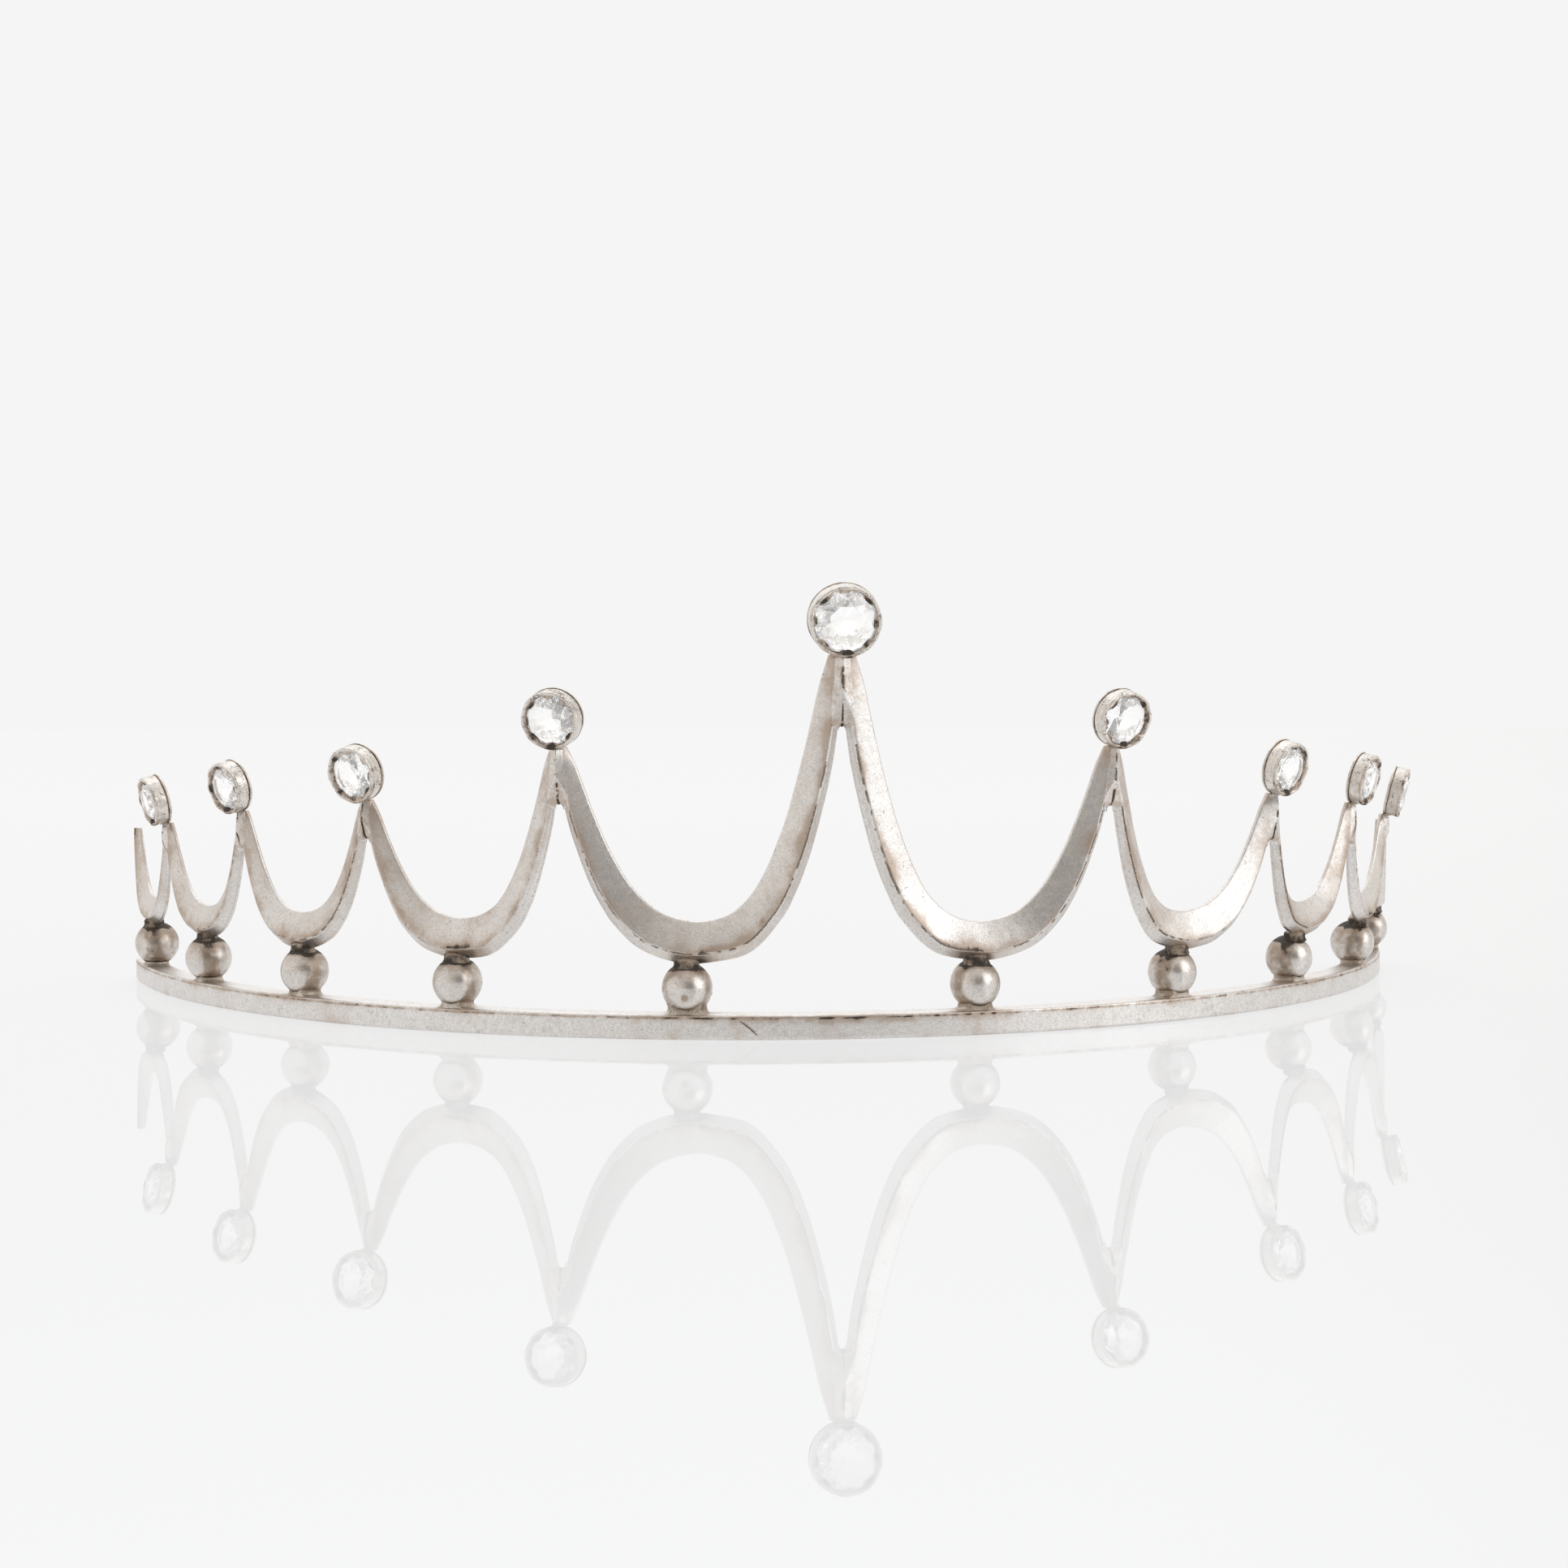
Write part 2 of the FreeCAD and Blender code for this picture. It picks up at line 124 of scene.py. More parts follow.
def cant(depth):
    return BACK_CANT * (depth / SWAG_DEEP) ** 2


def side(j):
    return ("left", 5 - j) if j < 5 else ("right", j - 4)


# ------------------------------------------------------------------ noise and mesh helpers
def hash3(ix, iy, iz, seed):
    h = (ix * 374761393 + iy * 668265263 + iz * 2147483647 + seed * 1274126177) & 0xFFFFFFFF
    h = ((h ^ (h >> 13)) * 1274126177) & 0xFFFFFFFF
    h = ((h ^ (h >> 16)) * 2246822519) & 0xFFFFFFFF
    return ((h ^ (h >> 15)) & 0xFFFFFF) / float(0xFFFFFF) * 2 - 1


def vnoise(P, freq, seed=0, octaves=1):
    """smooth value noise, -1..1, of points in millimetres"""
    P = np.asarray(P, float)
    out, amp, tot = np.zeros(len(P)), 1.0, 0.0
    for o in range(octaves):
        Q = P * freq * (2 ** o) + 17.3 * (o + 1)
        I = np.floor(Q).astype(np.int64)
        F = Q - I
        F = F * F * (3 - 2 * F)
        v = np.zeros(len(P))
        for dx in (0, 1):
            for dy in (0, 1):
                for dz in (0, 1):
                    w = (F[:, 0] if dx else 1 - F[:, 0]) * (F[:, 1] if dy else 1 - F[:, 1]) * (F[:, 2] if dz else 1 - F[:, 2])
                    v += w * hash3(I[:, 0] + dx, I[:, 1] + dy, I[:, 2] + dz, seed + o * 31)
        out += v * amp
        tot += amp
        amp *= 0.5
    return out / tot


def grid_quads(nr, nc, wrap=True, flip=False):
    i = np.arange(nr - 1)[:, None]
    j = np.arange(nc if wrap else nc - 1)[None, :]
    a = i * nc + j
    b = i * nc + (j + 1) % nc
    c = (i + 1) * nc + (j + 1) % nc
    d = (i + 1) * nc + j
    q = np.stack([a, b, c, d], -1).reshape(-1, 4)
    return q[:, ::-1] if flip else q


def tube(rows, cap=True, round_cap=0.06):
    """closed mesh from rows of rings (nr, nc, 3); returns verts, faces, and for each vert its (row, column)"""
    rows = np.asarray(rows, float)
    nr, nc, _ = rows.shape
    extra_rows, rc = [], [np.stack(np.meshgrid(np.arange(nr), np.arange(nc), indexing="ij"), -1).reshape(-1, 2)]
    V = [rows.reshape(-1, 3)]
    F = [tuple(f) for f in grid_quads(nr, nc)]
    if cap:
        for end, nb in ((0, 1), (nr - 1, nr - 2)):
            ring = rows[end]
            cen = ring.mean(0)
            out = cen - rows[nb].mean(0)
            out /= max(np.linalg.norm(out), 1e-9)
            base = sum(len(v) for v in V)
            inner = cen + (ring - cen) * 0.86 + out * round_cap
            V.append(inner)
            rc.append(np.stack([np.full(nc, end), np.arange(nc)], -1))
            V.append((cen + out * round_cap * 1.15)[None])
            rc.append(np.array([[end, 0]]))
            for j in range(nc):
                k = (j + 1) % nc
                a, b = end * nc + j, end * nc + k
                if end == 0:
                    F.append((b, a, base + j, base + k))
                    F.append((base + k, base + j, base + nc))
                else:
                    F.append((a, b, base + k, base + j))
                    F.append((base + j, base + k, base + nc))
    return np.concatenate(V), F, np.concatenate(rc)


def orient(me):
    import bmesh
    bm = bmesh.new()
    bm.from_mesh(me)
    bmesh.ops.recalc_face_normals(bm, faces=bm.faces)
    bm.to_mesh(me)
    bm.free()


def piece(name, verts, faces, mat, replaces=(), smooth=True, attrs=None, sharp=None, row_frame=False):
    """one visible piece on body root; verts in millimetres"""
    v = np.asarray(verts, float)
    if not row_frame:
        v = v + SH
    me = bpy.data.meshes.new(name)
    me.from_pydata((v / 1000.0).tolist(), [], [tuple(int(q) for q in f) for f in faces])
    me.validate()
    orient(me)
    for k, vals in (attrs or {}).items():
        at = me.attributes.new(k, "FLOAT", "POINT")
        at.data.foreach_set("value", np.asarray(vals, np.float32))
    me.polygons.foreach_set("use_smooth", [smooth] * len(me.polygons))
    ob = bpy.data.objects.new(name, me)
    scene.collection.objects.link(ob)
    for m in (mat if isinstance(mat, (list, tuple)) else [mat]):
        me.materials.append(m)
    if smooth and sharp:
        me.set_sharp_from_angle(angle=math.radians(sharp))
    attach(ob, "root")
    if replaces:
        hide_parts(*replaces)
    return ob


def normals_of(verts, faces):
    n = np.zeros_like(verts)
    for k in (3, 4):
        f = np.array([q for q in faces if len(q) == k])
        if len(f):
            c = np.cross(verts[f[:, 1]] - verts[f[:, 0]], verts[f[:, 2]] - verts[f[:, 0]])
            for q in range(k):
                for ax in range(3):
                    n[:, ax] += np.bincount(f[:, q], c[:, ax], len(verts))
    return n / np.maximum(np.linalg.norm(n, axis=1, keepdims=True), 1e-12)


# ------------------------------------------------------------------ materials
class Nodes:
    def __init__(self, name):
        self.mat = bpy.data.materials.new(name)
        self.mat.use_nodes = True
        self.t = self.mat.node_tree
        self.t.nodes.clear()
        self.out = self.t.nodes.new("ShaderNodeOutputMaterial")
        self.bsdf = self.t.nodes.new("ShaderNodeBsdfPrincipled")
        self.t.links.new(self.bsdf.outputs[0], self.out.inputs[0])
        self.pos = self.t.nodes.new("ShaderNodeTexCoord").outputs["Object"]

    def put(self, sock, v):
        if isinstance(v, bpy.types.NodeSocket):
            self.t.links.new(v, sock)
        else:
            sock.default_value = v

    def math(self, op, a, b=0.0, c=None, clamp=False):
        n = self.t.nodes.new("ShaderNodeMath")
        n.operation, n.use_clamp = op, clamp
        self.put(n.inputs[0], a)
        self.put(n.inputs[1], b)
        if c is not None:
            self.put(n.inputs[2], c)
        return n.outputs[0]

    def noise(self, scale, detail=3.0, rough=0.6, stretch=None, dist=0.0):
        n = self.t.nodes.new("ShaderNodeTexNoise")
        n.inputs["Scale"].default_value = scale
        n.inputs["Detail"].default_value = detail
        n.inputs["Roughness"].default_value = rough
        n.inputs["Distortion"].default_value = dist
        src = self.pos
        if stretch:
            m = self.t.nodes.new("ShaderNodeMapping")
            m.inputs["Scale"].default_value = stretch
            self.t.links.new(self.pos, m.inputs["Vector"])
            src = m.outputs[0]
        self.t.links.new(src, n.inputs["Vector"])
        return n.outputs[0]

    def voronoi(self, scale, rand=1.0):
        n = self.t.nodes.new("ShaderNodeTexVoronoi")
        n.inputs["Scale"].default_value = scale
        n.inputs["Randomness"].default_value = rand
        self.t.links.new(self.pos, n.inputs["Vector"])
        return n.outputs["Distance"]

    def step(self, v, lo, hi, a=0.0, b=1.0):
        n = self.t.nodes.new("ShaderNodeMapRange")
        n.interpolation_type = "SMOOTHSTEP"
        self.put(n.inputs["Value"], v)
        n.inputs["From Min"].default_value = lo
        n.inputs["From Max"].default_value = hi
        n.inputs["To Min"].default_value = a
        n.inputs["To Max"].default_value = b
        return n.outputs[0]

    def attr(self, name):
        n = self.t.nodes.new("ShaderNodeAttribute")
        n.attribute_name = name
        return n.outputs["Fac"]

    def mix(self, fac, a, b):
        n = self.t.nodes.new("ShaderNodeMix")
        n.data_type = "RGBA"
        self.put(n.inputs[0], fac)
        self.put(n.inputs[6], a)
        self.put(n.inputs[7], b)
        return n.outputs[2]

    def bump(self, h, strength, dist, normal=None):
        n = self.t.nodes.new("ShaderNodeBump")
        n.inputs["Strength"].default_value = strength
        n.inputs["Distance"].default_value = dist
        self.put(n.inputs["Height"], h)
        if normal is not None:
            self.t.links.new(normal, n.inputs["Normal"])
        return n.outputs[0]


def rgb(r, g, b):
    return (r, g, b, 1.0)


def silver(name, clean=(.95, .920, .893), warm=(.47, .370, .290), dark=(.050, .037, .028), rough=.33, fine=1.0,
           tarn_gain=1.0, dark_at=.80, brush=None, streak=0.0, relief=1.0):
    m = Nodes(name)
    big = m.noise(230, 4, .55)
    mid = m.noise(1500, 5, .65)
    fin = m.noise(7500, 3, .7)
    T = m.attr("tarn")
    P = m.attr("pit")
    # warm tarnish where grime gathers
    s = m.math("MULTIPLY", T, 1.25 * tarn_gain)
    s = m.math("ADD", s, m.math("MULTIPLY", m.math("SUBTRACT", mid, .5), 1.15))
    s = m.math("ADD", s, m.math("MULTIPLY", m.math("SUBTRACT", big, .5), 1.35))
    warm_f = m.step(s, .12, .95)
    d = m.math("ADD", T, m.math("MULTIPLY", m.math("SUBTRACT", mid, .5), .8))
    d = m.math("ADD", d, m.math("MULTIPLY", m.math("SUBTRACT", fin, .5), .5))
    dark_f = m.step(d, dark_at, dark_at + .32)
    # pits: dark specks everywhere, crowded along worn lines
    vo = m.voronoi(3600)
    spk = m.math("SUBTRACT", .5, fin)
    pit_s = m.math("ADD", m.math("MULTIPLY", P, .51), m.math("MULTIPLY", spk, 1.55))
    pit_s = m.math("ADD", pit_s, m.math("MULTIPLY", m.math("SUBTRACT", .5, mid), 1.0))
    pit_f = m.step(pit_s, .27, .42)
    pore = m.math("MULTIPLY", m.step(vo, .23, .10), m.step(mid, .50, .62))
    pore = m.math("MULTIPLY", pore, .35)
    gr = m.noise(3900, 2, .6)
    val = m.math("MULTIPLY", m.step(fin, .36, .62, .82, 1.0), m.step(mid, .36, .64, .88, 1.0))
    val = m.math("MULTIPLY", val, m.step(gr, .38, .58, .91, 1.0))
    cl = m.mix(m.step(big, .35, .70), rgb(*[c * .95 for c in clean]), rgb(*clean))
    mul = m.t.nodes.new("ShaderNodeMix")
    mul.data_type, mul.blend_type = "RGBA", "MULTIPLY"
    mul.inputs[0].default_value = 1.0
    m.put(mul.inputs[6], cl)
    comb = m.t.nodes.new("ShaderNodeCombineColor")
    for i in range(3):
        m.put(comb.inputs[i], val)
    m.put(mul.inputs[7], comb.outputs[0])
    col = m.mix(m.math("MULTIPLY", warm_f, .85), mul.outputs[2], rgb(*warm))
    if streak:
        st = m.noise(1.0, 2, .6, stretch=(5200, 5200, 320))
        stf = m.math("MULTIPLY", m.step(st, .60, .74), streak)
        col = m.mix(stf, col, rgb(*[c * .62 for c in warm]))
    col = m.mix(pore, col, rgb(*[c * .55 for c in warm]))
    col = m.mix(m.math("MULTIPLY", pit_f, .80), col, rgb(.115, .085, .060))
    col = m.mix(dark_f, col, rgb(*dark))
    m.put(m.bsdf.inputs["Base Color"], col)
    m.put(m.bsdf.inputs["Metallic"], m.math("SUBTRACT", 1.0, m.math("MULTIPLY", m.math("MAXIMUM", dark_f, pit_f), .80)))
    r = m.math("ADD", rough - .05, m.math("MULTIPLY", mid, .12))
    r = m.math("ADD", r, m.math("MULTIPLY", warm_f, .10))
    r = m.math("ADD", r, m.math("MULTIPLY", m.math("MAXIMUM", dark_f, pit_f), .28))
    m.put(m.bsdf.inputs["Roughness"], r)
    h = m.math("ADD", m.math("MULTIPLY", mid, .9), m.math("MULTIPLY", fin, .45 * fine))
    h = m.math("SUBTRACT", h, m.math("MULTIPLY", pit_f, .9))
    h = m.math("SUBTRACT", h, m.math("MULTIPLY", pore, .6))
    if brush:
        h = m.math("ADD", h, m.math("MULTIPLY", m.noise(1.0, 2, .6, stretch=brush), .5))
    nb = m.bump(h, .55 * relief, .00005)
    m.put(m.bsdf.inputs["Normal"], nb)
    return m.mat


SWAG_MAT = silver("satin_silver_swag", rough=.31)
BAND_MAT = silver("satin_silver_band", rough=.33, streak=.16, fine=.72, brush=(1200, 1200, 5000))
BALL_MAT = silver("worn_silver_ball", clean=(.86, .815, .77), warm=(.33, .255, .195), rough=.265, fine=.5, dark_at=.92, relief=.35)
CUP_MAT = silver("silver_setting", clean=(.90, .86, .81), rough=.26, fine=.8, dark_at=.72)
SOLDER_MAT = silver("tarnished_solder", clean=(.78, .715, .64), warm=(.36, .285, .215), dark=(.045, .034, .026),
                    rough=.40, tarn_gain=1.0, dark_at=.74)
JOIN_MAT = silver("silver_solder", clean=(.83, .77, .70), warm=(.42, .35, .275), rough=.36, dark_at=.74)


def make_glass():
    m = Nodes("clear_paste")
    b = m.bsdf
    b.inputs["Base Color"].default_value = (1, 1, 1, 1)
    b.inputs["Transmission Weight"].default_value = .85
    b.inputs["IOR"].default_value = 1.52
    # painted glow: a faint white emission that lifts the dark facets of the paste
    b.inputs["Emission Color"].default_value = (.96, .98, 1.0, 1.0)
    b.inputs["Emission Strength"].default_value = .07
    # slightly milky; sharp in front, a little dulled on the facets behind
    wear = m.step(m.noise(5200, 4, .7), .58, .80, 0.0, .10)
    m.put(b.inputs["Roughness"], m.math("ADD", wear, m.math("MULTIPLY", m.attr("behind"), .07)))
    # painted reflection: a dark brown arc on the lower back facets stands for the tarnished collet mirrored in them
    lx, ly = m.attr("lx"), m.attr("ly")
    rad = m.math("SQRT", m.math("ADD", m.math("MULTIPLY", lx, lx), m.math("MULTIPLY", ly, ly)))
    arc = m.math("MULTIPLY", m.step(rad, .36, .50), m.step(rad, .86, .72))
    arc = m.math("MULTIPLY", arc, m.step(ly, -.12, -.34))
    arc = m.math("MULTIPLY", arc, m.step(m.noise(2600, 4, .75), .42, .54))
    arc = m.math("MULTIPLY", m.math("MULTIPLY", arc, m.attr("behind")), .85)
    # painted facet shade: each back facet's colour is dimmed by its tone
    painted_facet_shade = m.mix(m.attr("tone"), rgb(.66, .63, .59), rgb(1, 1, 1))
    m.put(b.inputs["Base Color"], m.mix(arc, painted_facet_shade, rgb(.22, .17, .12)))
    m.put(b.inputs["Normal"], m.bump(m.noise(900, 2, .5), .05, .00002))
    return m.mat


GLASS = make_glass()


# ------------------------------------------------------------------ swags
def arm_points(bead, apex, height, half, z_in, bare):
    sgn = 1.0 if apex > bead else -1.0
    a_in = apex - sgn * deg(half)
    a_out = apex + sgn * deg(half) if bare else apex - sgn * deg(SEAM)
    N = 240
    inner, outer = [], []
    for i in range(N + 1):
        x = i / N
        inner.append((bead + (a_in - bead) * x, z_in + (height - z_in) * interp(F_IN, x)))
    for i in range(N + 1):
        x = i / N
        outer.append((bead + (a_out - bead) * x, SWAG_UNDER + (height - SWAG_UNDER) * interp(F_OUT, x)))
    z0 = outer[-1][1]
    for i in range(1, 61):
        outer.append((a_out, z0 + (height - z0) * i / 60.0))
    k = math.pi / 180 * ARC_R
    I = [(a * k, z) for a, z in inner]
    O = [(a * k, z) for a, z in outer]
    cum = [0.0]
    for i in range(1, len(I)):
        cum.append(cum[-1] + math.hypot(I[i][0] - I[i - 1][0], I[i][1] - I[i - 1][1]))
    cum = np.array(cum)
    res, j = [], 0
    for s in range(ARM_STATIONS + 1):
        u = s / ARM_STATIONS
        i = int(np.argmin(np.abs(cum - cum[-1] * u)))
        if s == 0:
            jj = 0
        elif s == ARM_STATIONS:
            jj = len(O) - 1
        else:
            i0, i1 = max(i - 2, 0), min(i + 2, len(I) - 1)
            ti = (I[i1][0] - I[i0][0], I[i1][1] - I[i0][1])
            li = math.hypot(*ti)
            best, jj = None, j
            for q in range(j, len(O) - 1):
                to = (O[min(q + 2, len(O) - 1)][0] - O[max(q - 2, 0)][0],
                      O[min(q + 2, len(O) - 1)][1] - O[max(q - 2, 0)][1])
                lt = math.hypot(*to)
                t = (ti[0] / li + to[0] / lt, ti[1] / li + to[1] / lt)
                d = (O[q][0] - I[i][0]) * t[0] + (O[q][1] - I[i][1]) * t[1]
                if best is None or abs(d) < best:
                    best, jj = abs(d), q
        j = max(j, jj)
        depth = SWAG_DEEP + (TIP_DEEP - SWAG_DEEP) * u ** 1.25
        res.append((I[i][0] / k, I[i][1], O[jj][0] / k, O[jj][1], depth))
    return res


def swag_corners(st):
    ai, zi, ao, zo, depth = st
    half = depth / 2.0
    ib = on_wall(ai, zi, -half)
    ob = on_wall(ao, zo, -half + cant(depth))
    d = radial((ai + ao) / 2)
    ei = EDGE_IN * (0.6 + 0.4 * depth / SWAG_DEEP)
    eo = EDGE_OUT * (0.6 + 0.4 * depth / SWAG_DEEP)
    rb = on_wall(ai, zi, -half) * (1 - RIDGE_AT) + on_wall(ao, zo, -half) * RIDGE_AT
    return np.array([ib, ib + d * ei, rb + d * depth, ob + d * eo, ob])


def catmull(K, t):
    """rows K (n, ...) at positions t, smooth"""
    n = len(K)
    K = np.concatenate([2 * K[:1] - K[1:2], K, 2 * K[-1:] - K[-2:-1]])
    i = np.clip(np.floor(t).astype(int), 0, n - 2)
    f = (t - i).reshape((-1,) + (1,) * (K.ndim - 1))
    p0, p1, p2, p3 = K[i], K[i + 1], K[i + 2], K[i + 3]
    return 0.5 * ((2 * p1) + (p2 - p0) * f + (2 * p0 - 5 * p1 + 4 * p2 - p3) * f**2 + (3 * p1 - p0 - 3 * p2 + p3) * f**3)


ROUND = [0.17, 0.20, 0.26, 0.17, 0.16]      # how far each corner of the section is softened
STRAIGHT = [1, 15, 7, 1, 8]                 # divisions of the flats between them
ARC = 4


def section_rings(C):
    """C (rows, 5, 3) corners -> (rows, nc, 3) rings with rounded corners, and the column tags"""
    nr = len(C)
    cols, tag = [], []
    for c in range(5):
        p, q, r = C[:, (c - 1) % 5], C[:, c], C[:, (c + 1) % 5]
        lp = np.linalg.norm(p - q, axis=1, keepdims=True)
        lr = np.linalg.norm(r - q, axis=1, keepdims=True)
        s = np.minimum(ROUND[c], 0.42 * np.minimum(lp, lr))
        a, b = q + (p - q) / lp * s, q + (r - q) / lr * s
        for k in range(ARC + 1):
            t = k / ARC
            cols.append(a * (1 - t) ** 2 + q * 2 * t * (1 - t) + b * t * t)
            tag.append((c, t))
        r2 = C[:, (c + 2) % 5]
        l2 = np.linalg.norm(r2 - r, axis=1, keepdims=True)
        s2 = np.minimum(ROUND[(c + 1) % 5], 0.42 * np.minimum(lr, l2))
        b2 = r + (q - r) / lr * s2
        for k in range(1, STRAIGHT[c]):
            t = k / STRAIGHT[c]
            cols.append(b * (1 - t) + b2 * t)
            tag.append((c + .5, t))
    return np.stack(cols, 1), tag


# how worn the ridge line of each arm is (left arm, right arm)
WORN = [(.1, .2), (.2, .45), (.25, .55), (.25, .30), (.55, 1.0), (.85, .8), (.95, .35), (.95, .3), (.5, .3), (.2, .1)]
RIDGE_BROWN = [(.4, .4), (.4, .5), (.4, .5), (.38, .42), (.35, .75), (.60, .42), (.42, .38), (.55, .45), (.6, .5), (.5, .4)]


RIDGES, BROAD = {}, {}


def build_swag(j):
    b = SWAG_ANG[j]
    lt = (TIP_ANG[0], TIP_H[0], TIP_HALF, True) if j == 0 else (APEX_ANG[j - 1], APEX_H[j - 1], APEX_HALF[j - 1], False)
    rt = (TIP_ANG[1], TIP_H[1], TIP_HALF, True) if j == 9 else (APEX_ANG[j], APEX_H[j], APEX_HALF[j], False)
    L = arm_points(b, lt[0], lt[1], lt[2], SWAG_IN[j], lt[3])
    R = arm_points(b, rt[0], rt[1], rt[2], SWAG_IN[j], rt[3])
    C = np.array([swag_corners(s) for s in reversed(L[1:])] + [swag_corners(s) for s in R])
    n = len(C)
    t = np.linspace(0, n - 1, (n - 1) * 13 + 1)
    CC = catmull(C, t)
    rings, tag = section_rings(CC)
    nr, nc, _ = rings.shape
    half_way = (len(L) - 1) * 13
    RIDGES[j, -1] = CC[:half_way + 1, 2][::-1]
    RIDGES[j, 1] = CC[half_way:, 2]
    # the broad face is very slightly crowned, the narrow one a little hollow
    d = np.array([radial((math.degrees(math.atan2(p[0], -p[1])))) for p in rings.mean(1)])
    width = np.linalg.norm(CC[:, 1] - CC[:, 2], axis=1)
    for c, (k, u) in enumerate(tag):
        if k == 1.5:
            rings[:, c] += d * (0.045 * 4 * u * (1 - u) * np.minimum(width / 3.5, 1))[:, None]
        if k == 2.5:
            rings[:, c] -= d * (0.035 * 4 * u * (1 - u))
    face_cols = [c for c, (k, u) in enumerate(tag) if k == 1.5 or (k == 2 and u == 0)]
    BROAD[j, -1] = rings[:half_way + 1, face_cols][::-1]
    BROAD[j, 1] = rings[half_way:, face_cols]
    V, F, rc = tube(rings, round_cap=0.05)
    N = normals_of(V, F)
    row, col = rc[:, 0], rc[:, 1]
    tg = np.array(tag)[col]
    s_row = t[row]
    mid = (len(L) - 1)                       # the row of the bead
    left_arm = s_row < mid
    worn = np.where(left_arm, WORN[j][0], WORN[j][1])
    brown = np.where(left_arm, RIDGE_BROWN[j][0], RIDGE_BROWN[j][1])
    # distance in millimetres along the bar from the bottom
    cen = rings.mean(1)
    cl = np.concatenate([[0], np.cumsum(np.linalg.norm(np.diff(cen, axis=0), axis=1))])
    along = np.abs(cl - np.interp(mid, t, cl))[row]
    ends = np.minimum(cl, cl[-1] - cl)[row]
    ridge = CC[:, 2][row]
    to_ridge = np.linalg.norm(V - ridge, axis=1)
    on_face = (tg[:, 0] == 1.5) | ((tg[:, 0] == 2) & (tg[:, 1] < .5))
    on_bevel = (tg[:, 0] == 2.5) | ((tg[:, 0] == 2) & (tg[:, 1] >= .5))
    front = on_face | on_bevel | (tg[:, 0] == 1) | (tg[:, 0] == 3)
    # bead of wear beside the ridge, a broken line of pits
    nz = vnoise(V, 1.7, 40 + j, 3)
    nz2 = vnoise(V, 0.22, 70 + j, 2)
    line = np.exp(-((to_ridge - .08) / .080) ** 2) * on_bevel + np.exp(-((to_ridge - .0) / .070) ** 2) * on_face
    broken = ease((nz + .55 * nz2 + .30 * worn - .02) / .30)
    fade = ease((ends - 1.5) / 4.0)
    wz = np.where(left_arm, WEB_BOTTOM[j - 1] if j > 0 else 99, WEB_BOTTOM[j] if j < 9 else 99)
    open_ridge = 1 - ease((V[:, 2] - wz + .8) / 2.4)
    pit = line * broken * worn * fade * open_ridge
    V = V - N * (0.060 * pit)[:, None]
    # hammered, hand-filed unevenness
    V = V + N * (0.030 * vnoise(V, 0.28, 3, 2) + 0.010 * vnoise(V, 1.3, 5, 2))[:, None]
    # grime
    tarn = (.22 if j <= 3 else .16) + .13 * nz2
    patch = .55 + .9 * np.clip(vnoise(V, .45, 95 + j, 3), -.5, 1)
    halo = brown * np.exp(-(to_ridge / .66) ** 2) * on_face * 1.35 * patch * (.45 + .55 * open_ridge)
    halo += .36 * brown * np.exp(-(to_ridge / 1.5) ** 2) * on_face * patch
    tarn += np.minimum(halo, .60)
    tarn += .18 * np.exp(-((to_ridge - .05) / .25) ** 2) * on_bevel * open_ridge
    neck = np.array([radial(b) * (ARC_R + .6 * wall_off(b)) + np.array([0, 0, SWAG_UNDER])])
    dn = np.linalg.norm((V - neck) * np.array([1, 1, 1.5]), axis=1)
    tarn += .78 * np.exp(-(dn / 1.45) ** 2) * (V[:, 2] < 9.2)
    tarn += .30 * np.exp(-(dn / 3.0) ** 2)
    tarn += .20 * np.exp(-(ends / 1.0) ** 2) + .10 * np.exp(-(ends / 4.0) ** 2)
    tarn += np.where(front, 0, .16)
    if j not in (0, 9) or True:
        apex_gap = np.where(left_arm, j > 0, j < 9)
        tarn += .10 * apex_gap * np.exp(-(ends / 6.5) ** 2) * on_bevel
    nm = "%s_%d" % side(j)
    return piece("swag_bar_" + nm, V, F, SWAG_MAT, ["swag_" + nm],
                 attrs={"tarn": np.clip(tarn + .35 * pit, 0, 1.3), "pit": np.clip(pit * 1.9, 0, 1.3)})


